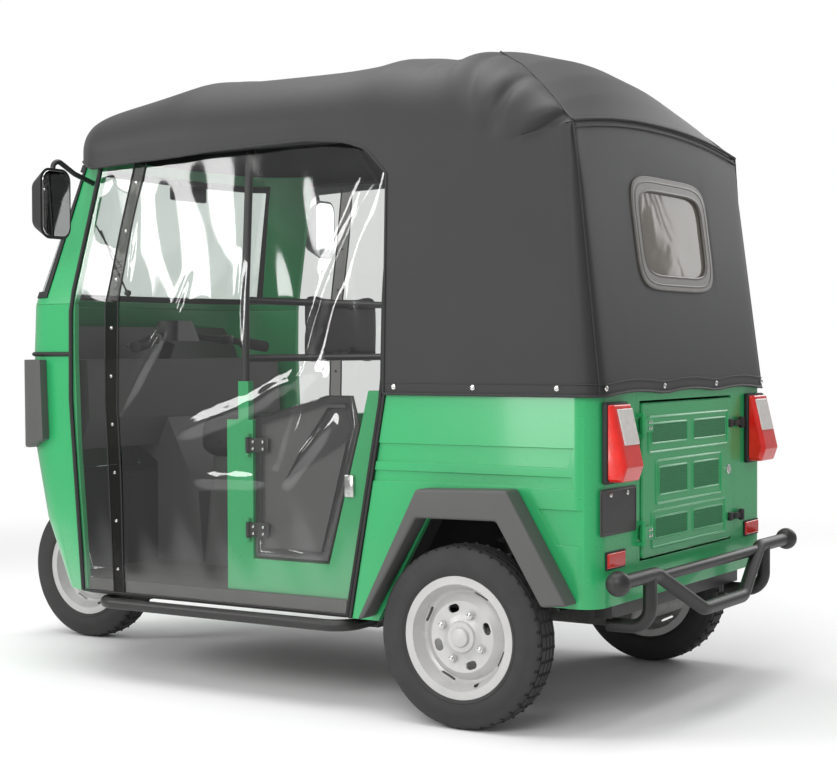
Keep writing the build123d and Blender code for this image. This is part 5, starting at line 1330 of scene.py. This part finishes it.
# Wiper lines on the glass: sideways place and height of both ends, height off the glass, and steps.
WIPER_ARM = ((0.02, 1.212), (0.24, 1.412), 9 * MM, 8)
WIPER_BLADE = ((0.09, 1.30), (0.39, 1.50), 4 * MM, 12)
TRIM_MIDDLE = Vector((0.560, 0, 1.003))
TRIM_TURN, TRIM_STEPS = 84, 60
SPRING_TURNS, SPRING_STEPS, SPRING_WIRE = 7, 20, 6.5 * MM


class RICKSHAW_OT_cab(bpy.types.Operator):
    """Fit the cab: ribbed grips, levers, wiper, inside mirror, trim line and coil springs"""

    bl_idname = "rickshaw.cab"
    bl_label = "Cab fittings"

    def execute(self, context):
        self.controls()
        self.wiper()
        self.trim_line()
        self.springs()
        return {"FINISHED"}

    def controls(self):
        """Ribbed rubber grips and bent levers on the handlebar."""
        grips = bmesh.new()
        levers = bmesh.new()
        for side in SIDES:
            start, end = [place * Vector((1, side, 1)) for place in GRIP]
            run = (end - start).length
            ribs = [(15 * MM, -2 * MM), (21 * MM, -2 * MM), (21 * MM, 3 * MM)]
            for number in range(GRIP_RIBS):
                along = 6 * MM + number * (run - 12 * MM) / (GRIP_RIBS - 1)
                ribs += [(18.2 * MM, along - 2 * MM), (19.6 * MM, along), (18.2 * MM, along + 2 * MM)]
            ribs += [(19 * MM, run), (15 * MM, run + 2.5 * MM), (0, run + 2.5 * MM)]
            add_turned(grips, ribs, start, (end - start).normalized(), 24)
            add_bead(levers, [(x, side * y, z) for x, y, z in LEVER], 5 * MM)
            y0, y1 = span(side, 0.178, 0.205)
            add_block(levers, (0.606, y0, 1.034), (0.650, y1, 1.066), 6 * MM)
        piece("handlebar_grips", grips, soft_rubber, "steering")
        piece("handlebar_levers", levers, black_plastic, "steering")

    def wiper(self):
        """Wiper arm and blade lying on the windscreen, and the mirror inside its top edge."""
        glass = surface_of("windscreen")
        bm = bmesh.new()

        def on_glass(y, z, lift):
            place, normal, _, _ = glass.ray_cast(Vector((2.0, y, z)), Vector((-1, 0, 0)))
            return place + normal * lift

        def along_glass(start, end, lift, steps):
            line = [Vector(start).lerp(Vector(end), k / steps) for k in range(steps + 1)]
            return [on_glass(spot.x, spot.y, lift) for spot in line]

        add_bead(bm, along_glass(*WIPER_ARM), 3.4 * MM)
        add_bead(bm, along_glass(*WIPER_BLADE), 3 * MM)
        pivot = on_glass(*WIPER_ARM[0], 0)
        add_turned(bm, in_metres([(11, 0), (11, 12), (0, 14)]), pivot, (1, 0, 0.3), 16)
        piece("wiper", bm, black_plastic, "body")
        bm = bmesh.new()
        add_block(bm, (0.630, -0.09, 1.520), (0.648, 0.09, 1.572), 7 * MM)
        add_bead(bm, [(0.648, 0, 1.55), (0.672, 0, 1.575), (0.682, 0, 1.600)], 5 * MM)
        piece("inside_mirror", bm, black_plastic, "body")

    def trim_line(self):
        """Black strip round the cowl above the headlamps."""
        cowl = surface_of("front_cowl")
        line = []
        for number in range(TRIM_STEPS + 1):
            turn = radians(TRIM_TURN * (2 * number / TRIM_STEPS - 1))
            away = Vector((cos(turn), sin(turn), 0))
            place, normal, _, _ = cowl.ray_cast(TRIM_MIDDLE + 2 * away, -away)
            line.append(place + normal * 2 * MM)
        bm = bmesh.new()
        add_bead(bm, line, 7 * MM)
        piece("cowl_trim_line", bm, soft_rubber, "body")

    def springs(self):
        """Coil springs wound round their dampers over the trailing arms."""
        low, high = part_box("rear_springs")
        radius = (high.x - low.x) / 2
        middle_x = (low.x + high.x) / 2
        wire = SPRING_WIRE
        tall = high.z - low.z - 2 * wire
        steps = SPRING_TURNS * SPRING_STEPS
        turn = 2 * pi * SPRING_TURNS
        lift = (0, 0, tall / steps)
        rod, tube, seat = 15 * MM, 24 * MM, radius - 2 * MM
        damper = [(0, -wire), (rod, -wire), (rod, 0.45 * tall), (tube, 0.45 * tall)]
        damper += [(tube, tall), (seat, tall), (seat, tall + wire), (0, tall + wire)]
        bm = bmesh.new()
        for side in SIDES:
            centre = Vector((middle_x, side * (high.y - radius), low.z + wire))
            made = bmesh.ops.create_circle(bm, cap_ends=False, segments=10, radius=wire)["verts"]
            upright = Matrix.Rotation(radians(90), 3, "X")
            bmesh.ops.rotate(bm, cent=(0, 0, 0), matrix=upright, verts=made)
            bmesh.ops.translate(bm, vec=centre + Vector((radius - wire, 0, 0)), verts=made)
            ring = made + list({edge for vert in made for edge in vert.link_edges})
            bmesh.ops.spin(
                bm, geom=ring, cent=centre, axis=(0, 0, 1), dvec=lift, angle=turn, steps=steps
            )
            add_turned(bm, damper, centre, (0, 0, 1), 28)
        bmesh.ops.recalc_face_normals(bm, faces=bm.faces)
        piece("rear_spring_coils", bm, powder_coat, "body", ("rear_springs",))


# Softboxes: place and aim in metres, size in metres and power in watts.
Light = namedtuple("Light", "name at towards size power")
LIGHTS = [
    Light("ceiling", (0.0, 0.5, 4.6), (0, 0, 0.6), (4.5, 4.5), 185),
    Light("key", (-2.0, 5.2, 3.4), (-0.2, 0, 0.9), (3.0, 2.2), 122),
    Light("front_fill", (3.4, 3.4, 2.6), (0.2, 0.3, 1.0), (1.4, 1.5), 56),
    Light("strip", (1.2, 4.8, 1.5), (0.1, 0.5, 1.0), (0.5, 2.2), 34),
    Light("far_fill", (-1.5, -4.6, 2.8), (0, 0, 0.9), (3.0, 2.4), 66),
]
FLOOR_RADIUS = 6.0
LIGHTING_STRENGTH, SEEN_STRENGTH = 0.42, 1.0
CAMERA_PLACE = (-3.1518, 4.5273, 1.0175)
CAMERA_YAW, CAMERA_PITCH, CAMERA_ROLL = radians(-57.677), radians(-1.193), radians(-0.189)
CAMERA_LENS, CAMERA_SENSOR = 73.64, 36.0


class RICKSHAW_OT_stage(bpy.types.Operator):
    """Set the floor, the soft lights, the white background and the camera"""

    bl_idname = "rickshaw.stage"
    bl_label = "Stage"

    def execute(self, context):
        bm = bmesh.new()
        bmesh.ops.create_circle(bm, cap_ends=True, segments=96, radius=FLOOR_RADIUS)
        mesh = bpy.data.meshes.new("floor")
        bm.to_mesh(mesh)
        bm.free()
        mesh.materials.append(finish(studio_floor))
        floor = bpy.data.objects.new("floor", mesh)
        context.scene.collection.objects.link(floor)
        for light in LIGHTS:
            self.softbox(context, light)
        self.world(context)
        self.camera(context)
        context.scene.view_settings.view_transform = "Standard"
        return {"FINISHED"}

    def softbox(self, context, light):
        """One softbox, aimed at a point."""
        data = bpy.data.lights.new(light.name, "AREA")
        data.shape = "RECTANGLE"
        data.size, data.size_y = light.size
        data.energy = light.power
        lamp = bpy.data.objects.new(light.name, data)
        lamp.location = light.at
        aim = Vector(light.towards) - Vector(light.at)
        lamp.rotation_euler = aim.to_track_quat("-Z", "Y").to_euler()
        context.scene.collection.objects.link(lamp)

    def world(self, context):
        """White where it is looked at, softer where it lights the object."""
        world = bpy.data.worlds.new("studio")
        world.use_nodes = True
        tree = world.node_tree
        path = add_node(tree, "ShaderNodeLightPath").outputs
        rays = {0: path["Is Camera Ray"], 1: path["Is Transmission Ray"]}
        seen = add_node(tree, "ShaderNodeMath", rays, operation="MAXIMUM").outputs[0]
        strength = ranged(tree, seen, LIGHTING_STRENGTH, SEEN_STRENGTH)
        feed(tree, tree.nodes["Background"], {"Color": (1.0, 1.0, 1.0, 1.0), "Strength": strength})
        context.scene.world = world

    def camera(self, context):
        """The photograph's viewpoint: standing off the left rear corner, a little above the waist."""
        level = cos(CAMERA_PITCH)
        ahead = Vector((cos(CAMERA_YAW) * level, sin(CAMERA_YAW) * level, sin(CAMERA_PITCH)))
        data = bpy.data.cameras.new("camera")
        data.sensor_width = CAMERA_SENSOR
        data.lens = CAMERA_LENS
        camera = bpy.data.objects.new("camera", data)
        turned = ahead.to_track_quat("-Z", "Y").to_matrix().to_4x4() @ Matrix.Rotation(CAMERA_ROLL, 4, "Z")
        camera.matrix_world = Matrix.Translation(CAMERA_PLACE) @ turned
        context.scene.collection.objects.link(camera)
        context.scene.camera = camera


class RICKSHAW_OT_rigid(bpy.types.Operator):
    """Give the rigid pieces their rounded edges and finishes"""

    bl_idname = "rickshaw.rigid"
    bl_label = "Rigid pieces"

    def execute(self, context):
        edge = context.scene.rickshaw_sizes.edge
        for paint, nodes in RIGID.items():
            for node in nodes:
                soften(node, paint, edge * ROUNDER.get(node, 1.0))
        return {"FINISHED"}


class RICKSHAW_PT_panel(bpy.types.Panel):
    """The rickshaw's pieces, in the order they are made"""

    bl_label = "Rickshaw"
    bl_idname = "RICKSHAW_PT_panel"
    bl_space_type = "VIEW_3D"
    bl_region_type = "UI"
    bl_category = "Rickshaw"

    def draw(self, context):
        for operator in OPERATORS:
            self.layout.operator(operator.bl_idname)


OPERATORS = [
    RICKSHAW_OT_stage,
    RICKSHAW_OT_rigid,
    RICKSHAW_OT_soft_top,
    RICKSHAW_OT_curtains,
    RICKSHAW_OT_tyres,
    RICKSHAW_OT_seats,
    RICKSHAW_OT_rear,
    RICKSHAW_OT_doors,
    RICKSHAW_OT_wheels,
    RICKSHAW_OT_cab,
]
CLASSES = [RickshawColours, RickshawSizes, *OPERATORS, RICKSHAW_PT_panel]


def register():
    for cls in CLASSES:
        bpy.utils.register_class(cls)
    bpy.types.Scene.rickshaw_colours = bpy.props.PointerProperty(type=RickshawColours)
    bpy.types.Scene.rickshaw_sizes = bpy.props.PointerProperty(type=RickshawSizes)


def unregister():
    del bpy.types.Scene.rickshaw_sizes
    del bpy.types.Scene.rickshaw_colours
    for cls in reversed(CLASSES):
        bpy.utils.unregister_class(cls)


def main():
    register()
    bpy.ops.rickshaw.stage()
    bpy.ops.rickshaw.rigid()
    bpy.ops.rickshaw.soft_top()
    bpy.ops.rickshaw.curtains()
    bpy.ops.rickshaw.tyres()
    bpy.ops.rickshaw.seats()
    bpy.ops.rickshaw.rear()
    bpy.ops.rickshaw.doors()
    bpy.ops.rickshaw.wheels()
    bpy.ops.rickshaw.cab()


if __name__ == "__main__":
    main()
